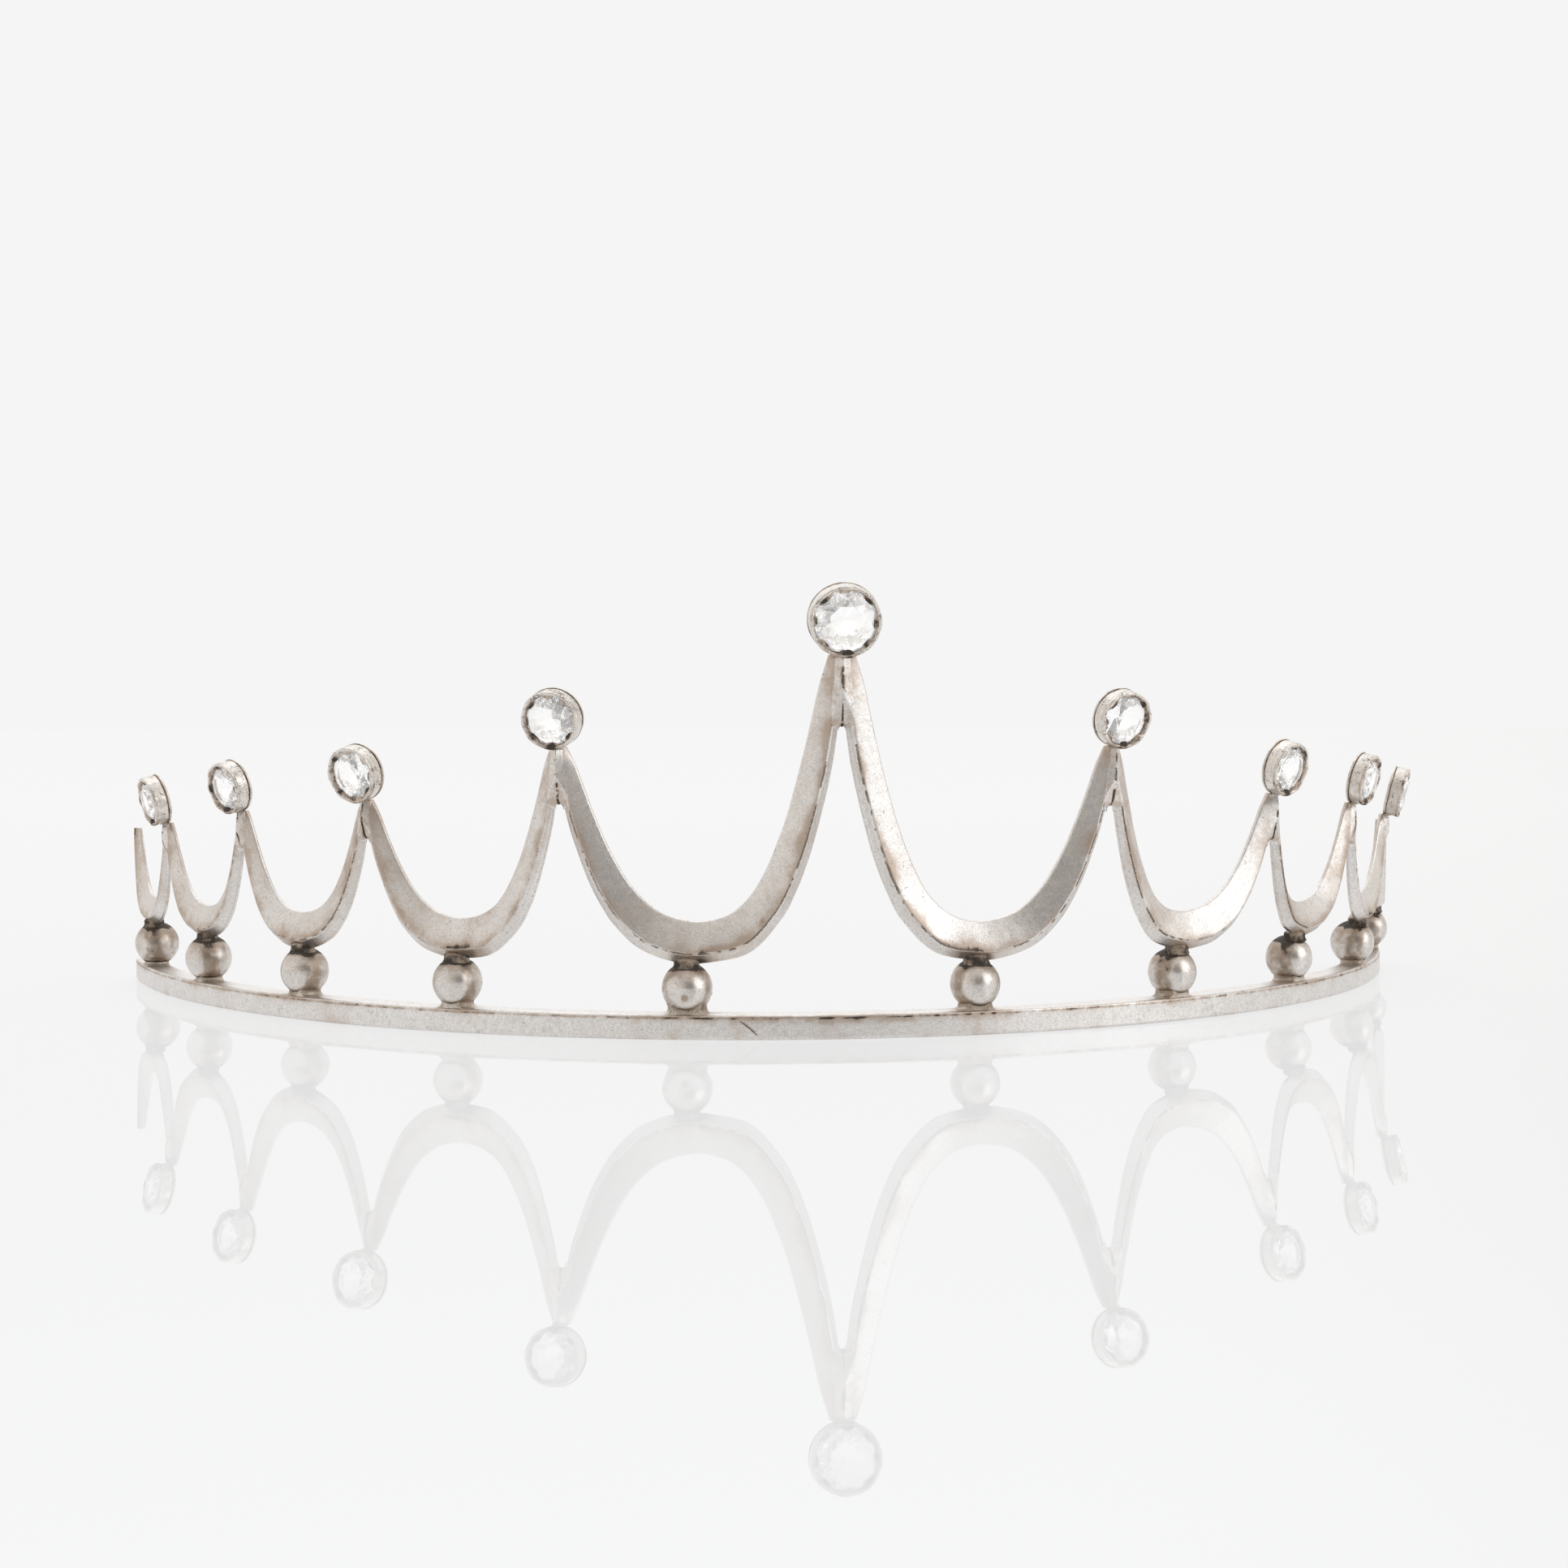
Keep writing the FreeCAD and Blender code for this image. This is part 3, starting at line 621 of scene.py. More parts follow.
# ------------------------------------------------------------------ band
def build_band():
    step = deg(0.42)
    ang = list(np.arange(-BAND_END, BAND_END, step)) + [BAND_END]
    # finer where the scratch runs
    SC_A, SC_B = (-6.95, 1.86), (-5.75, 0.50)      # (angle, z) of its two ends on the front face
    ang = sorted([a for a in ang if not (-7.4 < a < -5.2)] + list(np.linspace(-7.4, -5.2, 60)))
    # rounded nose at both ends: more stations there
    nose = np.linspace(0, 1, 9)[1:]
    ends = [BAND_END - deg(0.9 * (1 - math.sin(x * math.pi / 2))) for x in np.linspace(0, 1, 9)]
    ang = [a for a in ang if abs(a) < BAND_END - deg(1.0)] + ends + [-e for e in ends]
    ang = np.array(sorted(set(np.round(ang, 5))))
    r0, r1, h = -BAND_IN, BAND_OUT, BAND_H
    e = .27
    # section, counter-clockwise from the bottom at the back: (offset, z)
    def arc(cx, cz, a0, a1, n=4):
        return [(cx + e * math.cos(math.radians(a0 + (a1 - a0) * k / n)), cz + e * math.sin(math.radians(a0 + (a1 - a0) * k / n))) for k in range(n + 1)]
    S = []
    S += arc(r0 + e, e, 180, 270)
    S += [(x, 0) for x in np.linspace(r0 + e, r1 - e, 7)[1:-1]]
    S += arc(r1 - e, e, 270, 360)
    S += [(r1, z) for z in np.linspace(e, h - e, 26)[1:-1]]
    S += arc(r1 - e, h - e, 0, 90)
    S += [(x, h) for x in np.linspace(r1 - e, r0 + e, 11)[1:-1]]
    S += arc(r0 + e, h - e, 90, 180)
    S += [(r0, z) for z in np.linspace(h - e, e, 9)[1:-1]]
    S = np.array(S)
    rows = []
    mid = (r0 + r1) / 2
    for a in ang:
        d_end = (BAND_END - abs(a)) * math.pi / 180 * ARC_R
        k = 1.0 if d_end > .9 else 1 - .9 / ((r1 - r0) / 2) * (1 - math.sqrt(max(0, 1 - (1 - d_end / .9) ** 2)))
        rad = radial(a)
        P = np.outer(ARC_R + mid + (S[:, 0] - mid) * k, rad)
        P[:, 2] = S[:, 1]
        rows.append(P)
    rows = np.array(rows)
    V, F, rc = tube(rows, round_cap=0.02)
    N = normals_of(V, F)
    a = np.degrees(np.arctan2(V[:, 0], -V[:, 1]))
    r = np.hypot(V[:, 0], V[:, 1]) - ARC_R
    z = V[:, 2]
    top_soft = ease(z / .5)
    V = V + N * ((0.022 * vnoise(V, .16, 11, 2) + .007 * vnoise(V, 1.1, 12, 2)) * top_soft)[:, None]
    V[:, 2] = np.maximum(V[:, 2], 0)
    # dents on the top edge
    nd = vnoise(V, .9, 14, 2)
    edge_top = np.exp(-((z - h) / .22) ** 2) * np.exp(-((r - r1) / .3) ** 2)
    V = V - N * (.05 * edge_top * ease((nd - .15) / .4))[:, None]
    # the diagonal scratch
    def seg(pa, pb, w, cur=0.0):
        k = math.pi / 180 * (ARC_R + r1)
        p = np.stack([a * k, z], 1)
        A, B = np.array([pa[0] * k, pa[1]]), np.array([pb[0] * k, pb[1]])
        t = np.clip(((p - A) @ (B - A)) / ((B - A) @ (B - A)), 0, 1)
        nrm = np.array([-(B - A)[1], (B - A)[0]]) / np.linalg.norm(B - A)
        q = A + t[:, None] * (B - A) + np.outer(cur * 4 * t * (1 - t), nrm)
        dist = np.linalg.norm(p - q, axis=1)
        ww = w * (.35 + .65 * np.sin(np.pi * np.clip(t, .04, .96)))
        return np.exp(-(dist / ww) ** 2) * (r > r1 - .15)
    sc = seg(SC_A, SC_B, .085, .08)
    V = V - N * (.055 * sc)[:, None]
    front = r > r1 - .2
    big = vnoise(V, .11, 21, 3)
    m = vnoise(V, 1.5, 22, 3)
    tarn = .13 + .12 * big
    line = np.exp(-((z - (h - .30)) / .13) ** 2) * front
    tarn += line * (.50 + .55 * m + .30 * big)
    mid_z = .10 + .34 * np.exp(-((a - 1) / 8.5) ** 2) + .10 * big
    tarn += mid_z * np.exp(-((z - (h - .50)) / .42) ** 2) * front * (1 + 1.1 * m)
    tarn += .10 * np.exp(-((z - .12) / .2) ** 2) * front
    for b in BEAD_ANG:
        c = radial(b) * ARC_R
        dd = np.hypot(V[:, 0] - c[0], V[:, 1] - c[1])
        tarn += (.50 * np.exp(-(dd / 2.15) ** 4) * (.7 + .8 * m) + .18 * np.exp(-(dd / 3.6) ** 2)) * (z > h - .12)
        tarn += .20 * np.exp(-(dd / 3.2) ** 2) * front * np.exp(-((z - h) / .8) ** 2)
    tarn += np.where(front | (z > h - .1), 0, .14)
    pit = np.clip(sc * 1.3, 0, 1) + line * np.clip(.25 + m, 0, .7)
    tarn = tarn + sc * .9
    return piece("band_arc", V, F, BAND_MAT, ["base_band"], attrs={"tarn": np.clip(tarn, 0, 1.3), "pit": np.clip(pit, 0, 1)})


# ------------------------------------------------------------------ balls and their solder
def frame_of(a, z, off=0.0):
    r = radial(a)
    t = np.array([math.cos(math.radians(a)), math.sin(math.radians(a)), 0.0])
    c = r * (ARC_R + off)
    c[2] = z
    return c, t, r


# patina ring on each ball, deepened as painted shade toward the rim
BALL_RIM_PATINA_AND_SHADE = [.80, .76, .66, .52, .46, .66, .84, .82, .76, .70]


def build_ball(j):
    a = BEAD_ANG[j]
    c, t, r = frame_of(a, BEAD_Z)
    nu, nv = 112, 64
    R = BEAD_D / 2
    lat = np.linspace(-90, 90, nv + 1)[1:-1]
    rows = []
    for la in lat:
        th = np.linspace(0, 2 * np.pi, nu, endpoint=False)
        cl = math.cos(math.radians(la))
        rows.append(np.stack([cl * np.cos(th), cl * np.sin(th), np.full(nu, math.sin(math.radians(la)))], 1))
    D = np.concatenate(rows + [np.array([[0, 0, -1.0]]), np.array([[0, 0, 1.0]])])
    F = [tuple(f) for f in grid_quads(len(lat), nu)]
    nb = len(lat) * nu
    for k in range(nu):
        F.append((nb, (k + 1) % nu, k))
        F.append((nb + 1, (len(lat) - 1) * nu + k, (len(lat) - 1) * nu + (k + 1) % nu))
    rr = R * (1 + .0055 * vnoise(D * 2.5 + j * 9.1, .55, 90 + j, 2) + .0022 * vnoise(D * 2.5, 1.8, 60 + j, 2))
    # small dents
    g = np.random.default_rng(100 + j)
    for _ in range(9):
        v = g.normal(size=3)
        v /= np.linalg.norm(v)
        w = g.uniform(.10, .22)
        dd = np.linalg.norm(D - v, axis=1)
        rr -= g.uniform(.015, .04) * np.exp(-(dd / w) ** 2)
    spot = np.zeros(len(D))
    local = D[:, :1] * t + D[:, 1:2] * (-r) * -1 + D[:, 2:3] * np.array([0, 0, 1.0])
    if side(j) == ("left", 1):
        v = np.array([-.16, -.93, -.30])
        v /= np.linalg.norm(v)
        dd = np.linalg.norm(local - v, axis=1)
        spot = np.exp(-(dd / .17) ** 6)
        rr -= .03 * spot
    V = c + local * rr[:, None]
    z = V[:, 2]
    m = vnoise(V, .8, 33, 3)
    low = np.hypot(*(V[:, :2] - c[:2]).T)
    up = ease((z - (BEAD_Z + 1.55)) / .75)
    dn = ease(((BEAD_Z - 1.62) - z) / .62)
    out = np.degrees(np.arccos(np.clip(D[:, 1], -1, 1)))           # angle from straight outwards
    edge = out + 9 * vnoise(D * 2.5 + j, .9, 36, 3)
    # patina ring toward the rim as seen from straight outwards, deepened as painted shade for the dark band a satin
    # ball shows there
    ring = ease((edge - 44) / 16) * (1 - .55 * ease((edge - 76) / 22))
    tarn = .10 + .12 * m + 1.0 * np.maximum(up, dn) + .24 * ease((np.abs(z - BEAD_Z) - 1.0) / 1.2)
    tarn += .30 * ease((z - BEAD_Z - .35) / 1.4)
    tarn += BALL_RIM_PATINA_AND_SHADE[j] * ring * (.75 + .7 * vnoise(V, 1.6, 37, 2))
    tarn += .55 * spot
    nm = "%s_%d" % side(j)
    return piece("ball_round_" + nm, V, F, BALL_MAT, ["ball_" + nm], attrs={"tarn": np.clip(tarn, 0, 1.3), "pit": .25 * np.clip(m, 0, 1) + .1 * spot})


def revolve_rows(prof, nu):
    th = np.linspace(0, 2 * np.pi, nu, endpoint=False)
    rows = []
    for rad, z in prof:
        rows.append(np.stack([rad * np.cos(th), rad * np.sin(th), np.full(nu, z)], 1))
    return np.array(rows), th


FOOT_W = [.84, .88, .98, .98, 1.2, 1.04, 1.05, 1.0, .92, .9]


def build_low_solder():
    V, F, T = [], [], []
    for j, a in enumerate(BEAD_ANG):
        c, t, r = frame_of(a, 0)
        w = FOOT_W[j]
        prof = [(1.98 * w, BAND_H - .12), (1.94 * w, BAND_H + .02), (1.80 * w, BAND_H + .10), (1.70 * w, BAND_H + .22), (1.65 * w, BAND_H + .36),
                (1.64 * w, BAND_H + .50), (1.68, BAND_H + .64), (1.76, BAND_H + .78), (1.60, BAND_H + .90)]
        if j == 4:
            # the widest foot, drawn up one side of the ball
            prof = [(2.40, BAND_H - .12), (2.34, BAND_H + .02), (2.18, BAND_H + .12), (2.02, BAND_H + .28), (1.94, BAND_H + .46),
                    (1.93, BAND_H + .66), (1.98, BAND_H + .84), (2.04, BAND_H + .98), (1.85, BAND_H + 1.06)]
        prof = catmull(np.array(prof), np.linspace(0, len(prof) - 1, 29))
        rows, th = revolve_rows(prof, 72)
        g = np.random.default_rng(200 + j)
        for k in range(2, 6):
            ph, am = g.uniform(0, 6.28), g.uniform(.01, .05)
            rows[:, :, :2] *= (1 + am * np.cos(k * th + ph) * ease((BAND_H + .8 - rows[:, :, 2]) / .8))[:, :, None]
        if j == 4:
            lift = np.exp(-(((th + np.pi) % (2 * np.pi) - np.pi - .1) / .75) ** 2)[None, :] * ease((rows[:, :, 2] - BAND_H - .15) / .9)
            rows[:, :, 2] += 1.25 * lift
            rho = np.hypot(rows[:, :, 0], rows[:, :, 1])
            want = np.sqrt(np.maximum(6.25 - (rows[:, :, 2] - BEAD_Z) ** 2, .1)) + .09 - .20 * ease((rows[:, :, 2] - BAND_H - 1.9) / .4)
            kk = 1 + lift * (np.maximum(want, rho * .9) / rho - 1)
            rows[:, :, :2] *= kk[:, :, None]
        # kept on the band's top
        y = rows[:, :, 1]
        lim_o, lim_i = BAND_OUT - .17, BAND_IN - .14
        rows[:, :, 1] = np.where(y < 0, -lim_o * np.tanh(-y / lim_o * 1.0) ** .94 if False else np.maximum(y, -lim_o), np.minimum(y, lim_i))
        P = rows.reshape(-1, 3)
        W = c + P[:, :1] * t + P[:, 1:2] * (-r) + P[:, 2:3] * np.array([0, 0, 1.0])
        v, f, rc = tube(W.reshape(rows.shape), round_cap=.02)
        n = normals_of(v, f)
        v = v + n * (.045 * vnoise(v, 1.6, 44, 2))[:, None]
        off = sum(len(q) for q in V)
        V.append(v)
        F += [tuple(q + off for q in ff) for ff in f]
        z = v[:, 2]
        m = vnoise(v, 1.4, 45, 3)
        T.append(.40 + .26 * ease((z - BAND_H - .10) / .45) + .42 * m)
    T = np.concatenate(T)
    return piece("solder_feet", np.concatenate(V), F, SOLDER_MAT, ["lower_collars"], attrs={"tarn": np.clip(T, 0, 1.2), "pit": .4 * np.clip(T, 0, 1)})


def build_up_solder():
    V, F, T = [], [], []
    for j, a in enumerate(BEAD_ANG):
        off_r = .6 * wall_off(a)
        c, t, r = frame_of(a, 0, off_r)
        zb = BEAD_Z + 1.93
        prof = [(1.20, zb - .10), (1.44, zb), (1.42, zb + .14), (1.34, zb + .28), (1.30, zb + .44), (1.30, zb + .60), (1.28, zb + .80), (1.05, zb + 1.02), (.70, zb + 1.16)]
        prof = catmull(np.array(prof), np.linspace(0, len(prof) - 1, 29))
        rows, th = revolve_rows(prof, 72)
        g = np.random.default_rng(300 + j)
        for k in range(2, 6):
            ph, am = g.uniform(0, 6.28), g.uniform(.008, .03)
            rows[:, :, :2] *= (1 + am * np.cos(k * th + ph))[None, :, None]
        # less deep than wide: the bar above is only so thick
        rows[:, :, 1] *= .86
        P = rows.reshape(-1, 3)
        W = c + P[:, :1] * t + P[:, 1:2] * (-r) + P[:, 2:3] * np.array([0, 0, 1.0])
        v, f, rc = tube(W.reshape(rows.shape), round_cap=.02)
        n = normals_of(v, f)
        v = v + n * (.04 * vnoise(v, 1.8, 54, 2))[:, None]
        off = sum(len(q) for q in V)
        V.append(v)
        F += [tuple(q + off for q in ff) for ff in f]
        z = v[:, 2]
        m = vnoise(v, 1.4, 55, 3)
        T.append(.94 + .34 * m - .22 * ease((z - zb - .70) / .3))
    T = np.concatenate(T)
    return piece("solder_necks", np.concatenate(V), F, SOLDER_MAT, ["upper_collars"], attrs={"tarn": np.clip(T, 0, 1.2), "pit": .4 * np.clip(T, 0, 1)})


# ------------------------------------------------------------------ settings and stones
def cup_matrix(i):
    a, h = APEX_ANG[i], APEX_H[i]
    ro, ln = CUP_R[i], (CUP_L_MID if i == 4 else CUP_L)
    t = math.radians(CUP_TILT)
    rd, Z = radial(a), np.array([0, 0, 1.0])
    n = rd * math.cos(t) - Z * math.sin(t)
    up = rd * math.sin(t) + Z * math.cos(t)
    x = np.cross(up, n)
    base = on_wall(a, h, 0.0) + up * (ro + 0.10) + n * (CUP_OUT - (ln - RING_L) / 2)
    return base, x, up, n, ro, ln


def to_cup(i, P):
    base, x, up, n, ro, ln = cup_matrix(i)
    return base + P[:, :1] * x + P[:, 1:2] * up + P[:, 2:3] * n


def tagname(i):
    return "centre" if i == 4 else ("left_%d" % (4 - i) if i < 4 else "right_%d" % (i - 4))


def build_cup(i):
    ro, ln = cup_matrix(i)[4:]
    g = np.random.default_rng(400 + i)
    nu = 176
    th = np.linspace(0, 2 * np.pi, nu, endpoint=False)
    ph0 = g.uniform(0, 6.28)
    # eight grains raised from the rim and pressed over the stone
    wave = np.zeros(nu)
    arcs = np.zeros(nu)
    for k in range(8):
        t0 = math.radians(45 * k) + g.normal(0, .05)
        w = g.uniform(.19, .25)
        d = (th - t0 + np.pi) % (2 * np.pi) - np.pi
        wave += np.exp(-(d / w) ** 4) * g.uniform(.80, 1.1)
        arcs += np.exp(-(d / .30) ** 2)
    wave = np.clip(wave, 0, 1.15)
    seat = ln - .62
    # profile stages, each a ring (radius, z) that may vary round the mouth
    prof = []
    prof.append((ro - .74 + 0 * th, .02 + 0 * th))
    prof.append((ro - .50 + 0 * th, .0 + 0 * th))
    prof.append((ro - .10 + 0 * th, .0 + 0 * th))
    prof.append((ro - .015 + 0 * th, .05 + 0 * th))
    prof.append((ro + 0 * th, .16 + 0 * th))
    for f in np.linspace(.25, ln - .62, 6):
        prof.append((ro + .012 * np.sin(f * 3) + 0 * th, f + 0 * th))
    prof.append((ro + .020 * wave, ln - .46 + 0 * th))
    prof.append((ro + .040 * wave - .0, ln - .32 + .02 * wave))
    prof.append((ro + .035 * wave - .01, ln - .20 + .06 * wave))
    prof.append((ro - .045 + .01 * wave, ln - .09 + .09 * wave))
    prof.append((ro - .11 - .04 * wave, ln - .05 + .11 * wave))
    prof.append((ro - .20 - .15 * wave, ln - .06 + .09 * wave))
    prof.append((ro - .31 - .38 * wave, ln - .14 + .05 * wave))
    prof.append((ro - .345 - .43 * wave, ln - .21 - .02 * wave))
    prof.append((ro - .36 - .45 * wave, ln - .30 - .06 * wave))
    prof.append((ro - .37 - .36 * wave, ln - .38 - .04 * wave))
    prof.append((ro - .38 - .10 * wave, ln - .44 + 0 * th))
    prof.append((ro - .39 + 0 * th, seat + 0 * th))
    prof.append((ro - .58 + 0 * th, seat - .07 + 0 * th))
    prof.append((ro - .73 + 0 * th, seat - .18 + 0 * th))
    prof.append((ro - .76 + 0 * th, (seat - .22) * .5 + 0 * th))
    K = np.array([np.stack([p[0], p[1]], -1) for p in prof])       # (m, nu, 2)
    Kc = np.concatenate([K, K[:1]])
    tt = np.linspace(0, len(Kc) - 1, (len(Kc) - 1) * 3 + 1)[:-1]
    S = catmull(Kc, tt)
    rad, z = S[:, :, 0], S[:, :, 1]
    rad = rad * (1 + .004 * np.cos(2 * th + ph0) + .003 * np.cos(3 * th + 2 * ph0))
    P = np.stack([rad * np.cos(th), rad * np.sin(th), z], -1)
    nr = len(P)
    V = P.reshape(-1, 3)
    F = [tuple(f) for f in grid_quads(nr, nu)]
    F += [((nr - 1) * nu + k, (nr - 1) * nu + (k + 1) % nu, (k + 1) % nu, k) for k in range(nu)]
    N = normals_of(V, F)
    zz, rr = V[:, 2], np.hypot(V[:, 0], V[:, 1])
    V = V + N * (.020 * vnoise(V + i * 7, 1.1, 66, 2) * (rr > ro - .5))[:, None]
    m = vnoise(V + i * 5, 1.3, 67, 3)
    wv = np.tile(wave, nr)
    lip = ease((zz - (ln - .30)) / .2)
    inner = ease((ro - .24 - rr) / .10)
    tarn = .12 + .15 * m
    tarn += .50 * np.exp(-((zz - .02) / .14) ** 2) * (rr > ro - .3)
    tarn += (.50 * inner + .42 * ease((ro - .18 - rr) / .2) * np.clip(wv, 0, 1) * (.6 + 1.2 * m)) * (zz > seat + .05)
    # patina in the groove under the rim, widened into a painted shadow under the rim; then the lower side of the lip
    # darkened as painted shade
    tarn += .85 * np.exp(-((zz - (ln - .31)) / .10) ** 2) * (rr > ro - .2) * (1 - .6 * np.clip(wv, 0, 1)) * (.7 + m)
    tarn += .35 * ease((-V[:, 1] / ro - .35) / .5) * np.exp(-((zz - (ln - .12)) / .16) ** 2) * (rr > ro - .22)
    tarn += .12 * (zz < seat + .05) * (rr < ro - .3)
    # solder creeping up at the foot
    foot = np.exp(-((V[:, 1] + ro) / .50) ** 2) * np.exp(-(V[:, 0] / 1.1) ** 2)
    tarn += .75 * foot * (1 + m)
    nm = tagname(i)
    return piece("setting_" + nm, to_cup(i, V), F, CUP_MAT, ["bezel_" + nm],
                 attrs={"tarn": np.clip(tarn, 0, 1.2), "pit": np.clip(.25 + .6 * m, 0, .8)})


def build_ring(i):
    ro, ln = cup_matrix(i)[4:]
    nu = 128
    prof = [(ro - .84, -.30), (ro - .76, -.355), (ro - .5, -.36), (ro - .10, -.355), (ro + .035, -.30), (ro + .065, -.20),
            (ro + .055, -.10), (ro + .0, -.03), (ro - .12, -.005), (ro - .5, -.004), (ro - .80, -.01), (ro - .86, -.12)]
    K = np.array(prof + prof[:1])
    S = catmull(K, np.linspace(0, len(K) - 1, (len(K) - 1) * 3 + 1)[:-1])
    rows, th = revolve_rows(S, nu)
    V = rows.reshape(-1, 3)
    nr = len(rows)
    F = [tuple(f) for f in grid_quads(nr, nu)]
    F += [((nr - 1) * nu + k, (nr - 1) * nu + (k + 1) % nu, (k + 1) % nu, k) for k in range(nu)]
    N = normals_of(V, F)
    m = vnoise(V + i * 3, 1.1, 76, 3)
    rr = np.hypot(V[:, 0], V[:, 1])
    V = V + N * (.018 * m * (rr > ro - .4))[:, None]
    tarn = .20 + .2 * m + .75 * np.exp(-((V[:, 2] + .01) / .09) ** 2) * (rr > ro - .3)
    foot = np.exp(-((V[:, 1] + ro) / .45) ** 2) * np.exp(-(V[:, 0] / 1.0) ** 2)
    tarn += .6 * foot + .35 * (rr < ro - .5)
    nm = tagname(i)
    return piece("back_ring_" + nm, to_cup(i, V), F, CUP_MAT, ["bezel_back_" + nm],
                 attrs={"tarn": np.clip(tarn, 0, 1.2), "pit": np.clip(.2 + .5 * m, 0, .8)})


def build_stone(i):
    ro, ln = cup_matrix(i)[4:]
    g = np.random.default_rng(500 + i)
    r = ro - CUP_WALL - .03
    g0, g1 = ln - .58, ln - .48
    depth = g0 + RING_L - .06
    crown = .30 * r
    rt, rm, rl = .56 * r, .80 * r, .24 * r
    rot = g.uniform(0, 45) if i != 4 else 22.5
    def pt(rad, angle, z):
        q = math.radians(angle + rot)
        return (rad * math.cos(q), rad * math.sin(q), z)
    c22 = math.cos(math.radians(22.5))
    V, F, top = [], [], []
    T = [len(V) + k for k in range(8)]
    V += [pt(rt, 45 * k, g1 + crown) for k in range(8)]
    M = [len(V) + k for k in range(8)]
    zM = g1 + crown * (r - rm * c22) / (r - rt)
    V += [pt(rm, 45 * k + 22.5, zM) for k in range(8)]
    G = [len(V) + k for k in range(16)]
    V += [pt(r, 22.5 * k, g1 - (.03 if k % 2 else 0)) for k in range(16)]
    H = [len(V) + k for k in range(16)]
    V += [pt(r, 22.5 * k, g0 + (.03 if k % 2 else 0)) for k in range(16)]
    Lw = [len(V) + k for k in range(8)]
    V += [pt(rl, 45 * k + 22.5, g0 - depth * (r - rl * c22) / r) for k in range(8)]
    C = len(V)
    V.append((0, 0, g0 - depth))
    F.append(tuple(T))
    top.append(0)
    for k in range(8):
        n = (k + 1) % 8
        F += [(T[k], M[k - 1], G[2 * k], M[k]), (T[k], M[k], T[n]), (M[k], G[2 * k], G[2 * k + 1]), (M[k], G[2 * k + 1], G[(2 * k + 2) % 16])]
        top += [0] * 4
    for k in range(16):
        n = (k + 1) % 16
        F.append((G[k], H[k], H[n], G[n]))
        top.append(0)
    for k in range(8):
        F += [(C, Lw[k - 1], H[2 * k], Lw[k]), (Lw[k], H[2 * k], H[2 * k + 1]), (Lw[k], H[2 * k + 1], H[(2 * k + 2) % 16])]
        top += [1] * 3
    ob = piece("paste_" + tagname(i), to_cup(i, np.array(V)), F, GLASS, ["stone_" + tagname(i)], smooth=False)
    me = ob.data
    assert len(me.polygons) == len(F)
    # painted reflection and shade: each back facet gets a tone that dims it, as if mirroring the tarnished collet, most
    # of all low down
    painted_facet_tones = []
    for f, q in zip(F, top):
        c = np.mean([V[k] for k in f], axis=0)
        if not q:
            painted_facet_tones.append(1.0)
        elif C in f:
            painted_facet_tones.append(.88 + .12 * g.uniform() if g.uniform() > .3 else .66 + .15 * g.uniform())
        else:
            low = np.clip(-c[1] / r - .15, 0, 1)
            painted_facet_tones.append(float(np.clip(.98 - .35 * low - .30 * g.uniform() ** 2 + .15 * g.normal() * low, .2, 1)))
    for nm, k in (("lx", 0), ("ly", 1)):
        at = me.attributes.new(nm, "FLOAT", "POINT")
        at.data.foreach_set("value", np.asarray([q[k] / r for q in V], np.float32))
    for nm, vals in (("behind", top), ("tone", painted_facet_tones)):
        at = me.attributes.new(nm, "FLOAT", "FACE")
        at.data.foreach_set("value", np.asarray(vals, np.float32))
    return ob


# ------------------------------------------------------------------ solder at the apexes
def outer_edge_at(j, sd, z):
    b = SWAG_ANG[j]
    i = j if sd > 0 else j - 1
    apex, h = APEX_ANG[i], APEX_H[i]
    a_out = apex - sd * deg(SEAM)
    y = (z - SWAG_UNDER) / (h - SWAG_UNDER)
    if y >= F_OUT[-1][1]:
        return a_out
    lo, hi = 0.0, 1.0
    for _ in range(40):
        mm = (lo + hi) / 2
        if interp(F_OUT, mm) < y:
            lo = mm
        else:
            hi = mm
    return b + (a_out - b) * lo


def ridge_at(j, sd, z):
    R = RIDGES[j, sd]
    return np.array([np.interp(z, R[:, 2], R[:, 0]), np.interp(z, R[:, 2], R[:, 1]), z])


def face_cut(j, sd, z, C0, tg, rd):
    """level cut of an arm's broad face: where it ends beside the ridge, and how fast it climbs there"""
    B = BROAD[j, sd]
    pts = []
    for c in (-1, -7):
        col = B[:, c]
        p = np.array([np.interp(z, col[:, 2], col[:, 0]), np.interp(z, col[:, 2], col[:, 1]), z])
        pts.append(((p - C0) @ tg, (p - C0) @ rd))
    (x1, h1), (x0, h0) = pts
    return x1, h1, (h1 - h0) / (x1 - x0)


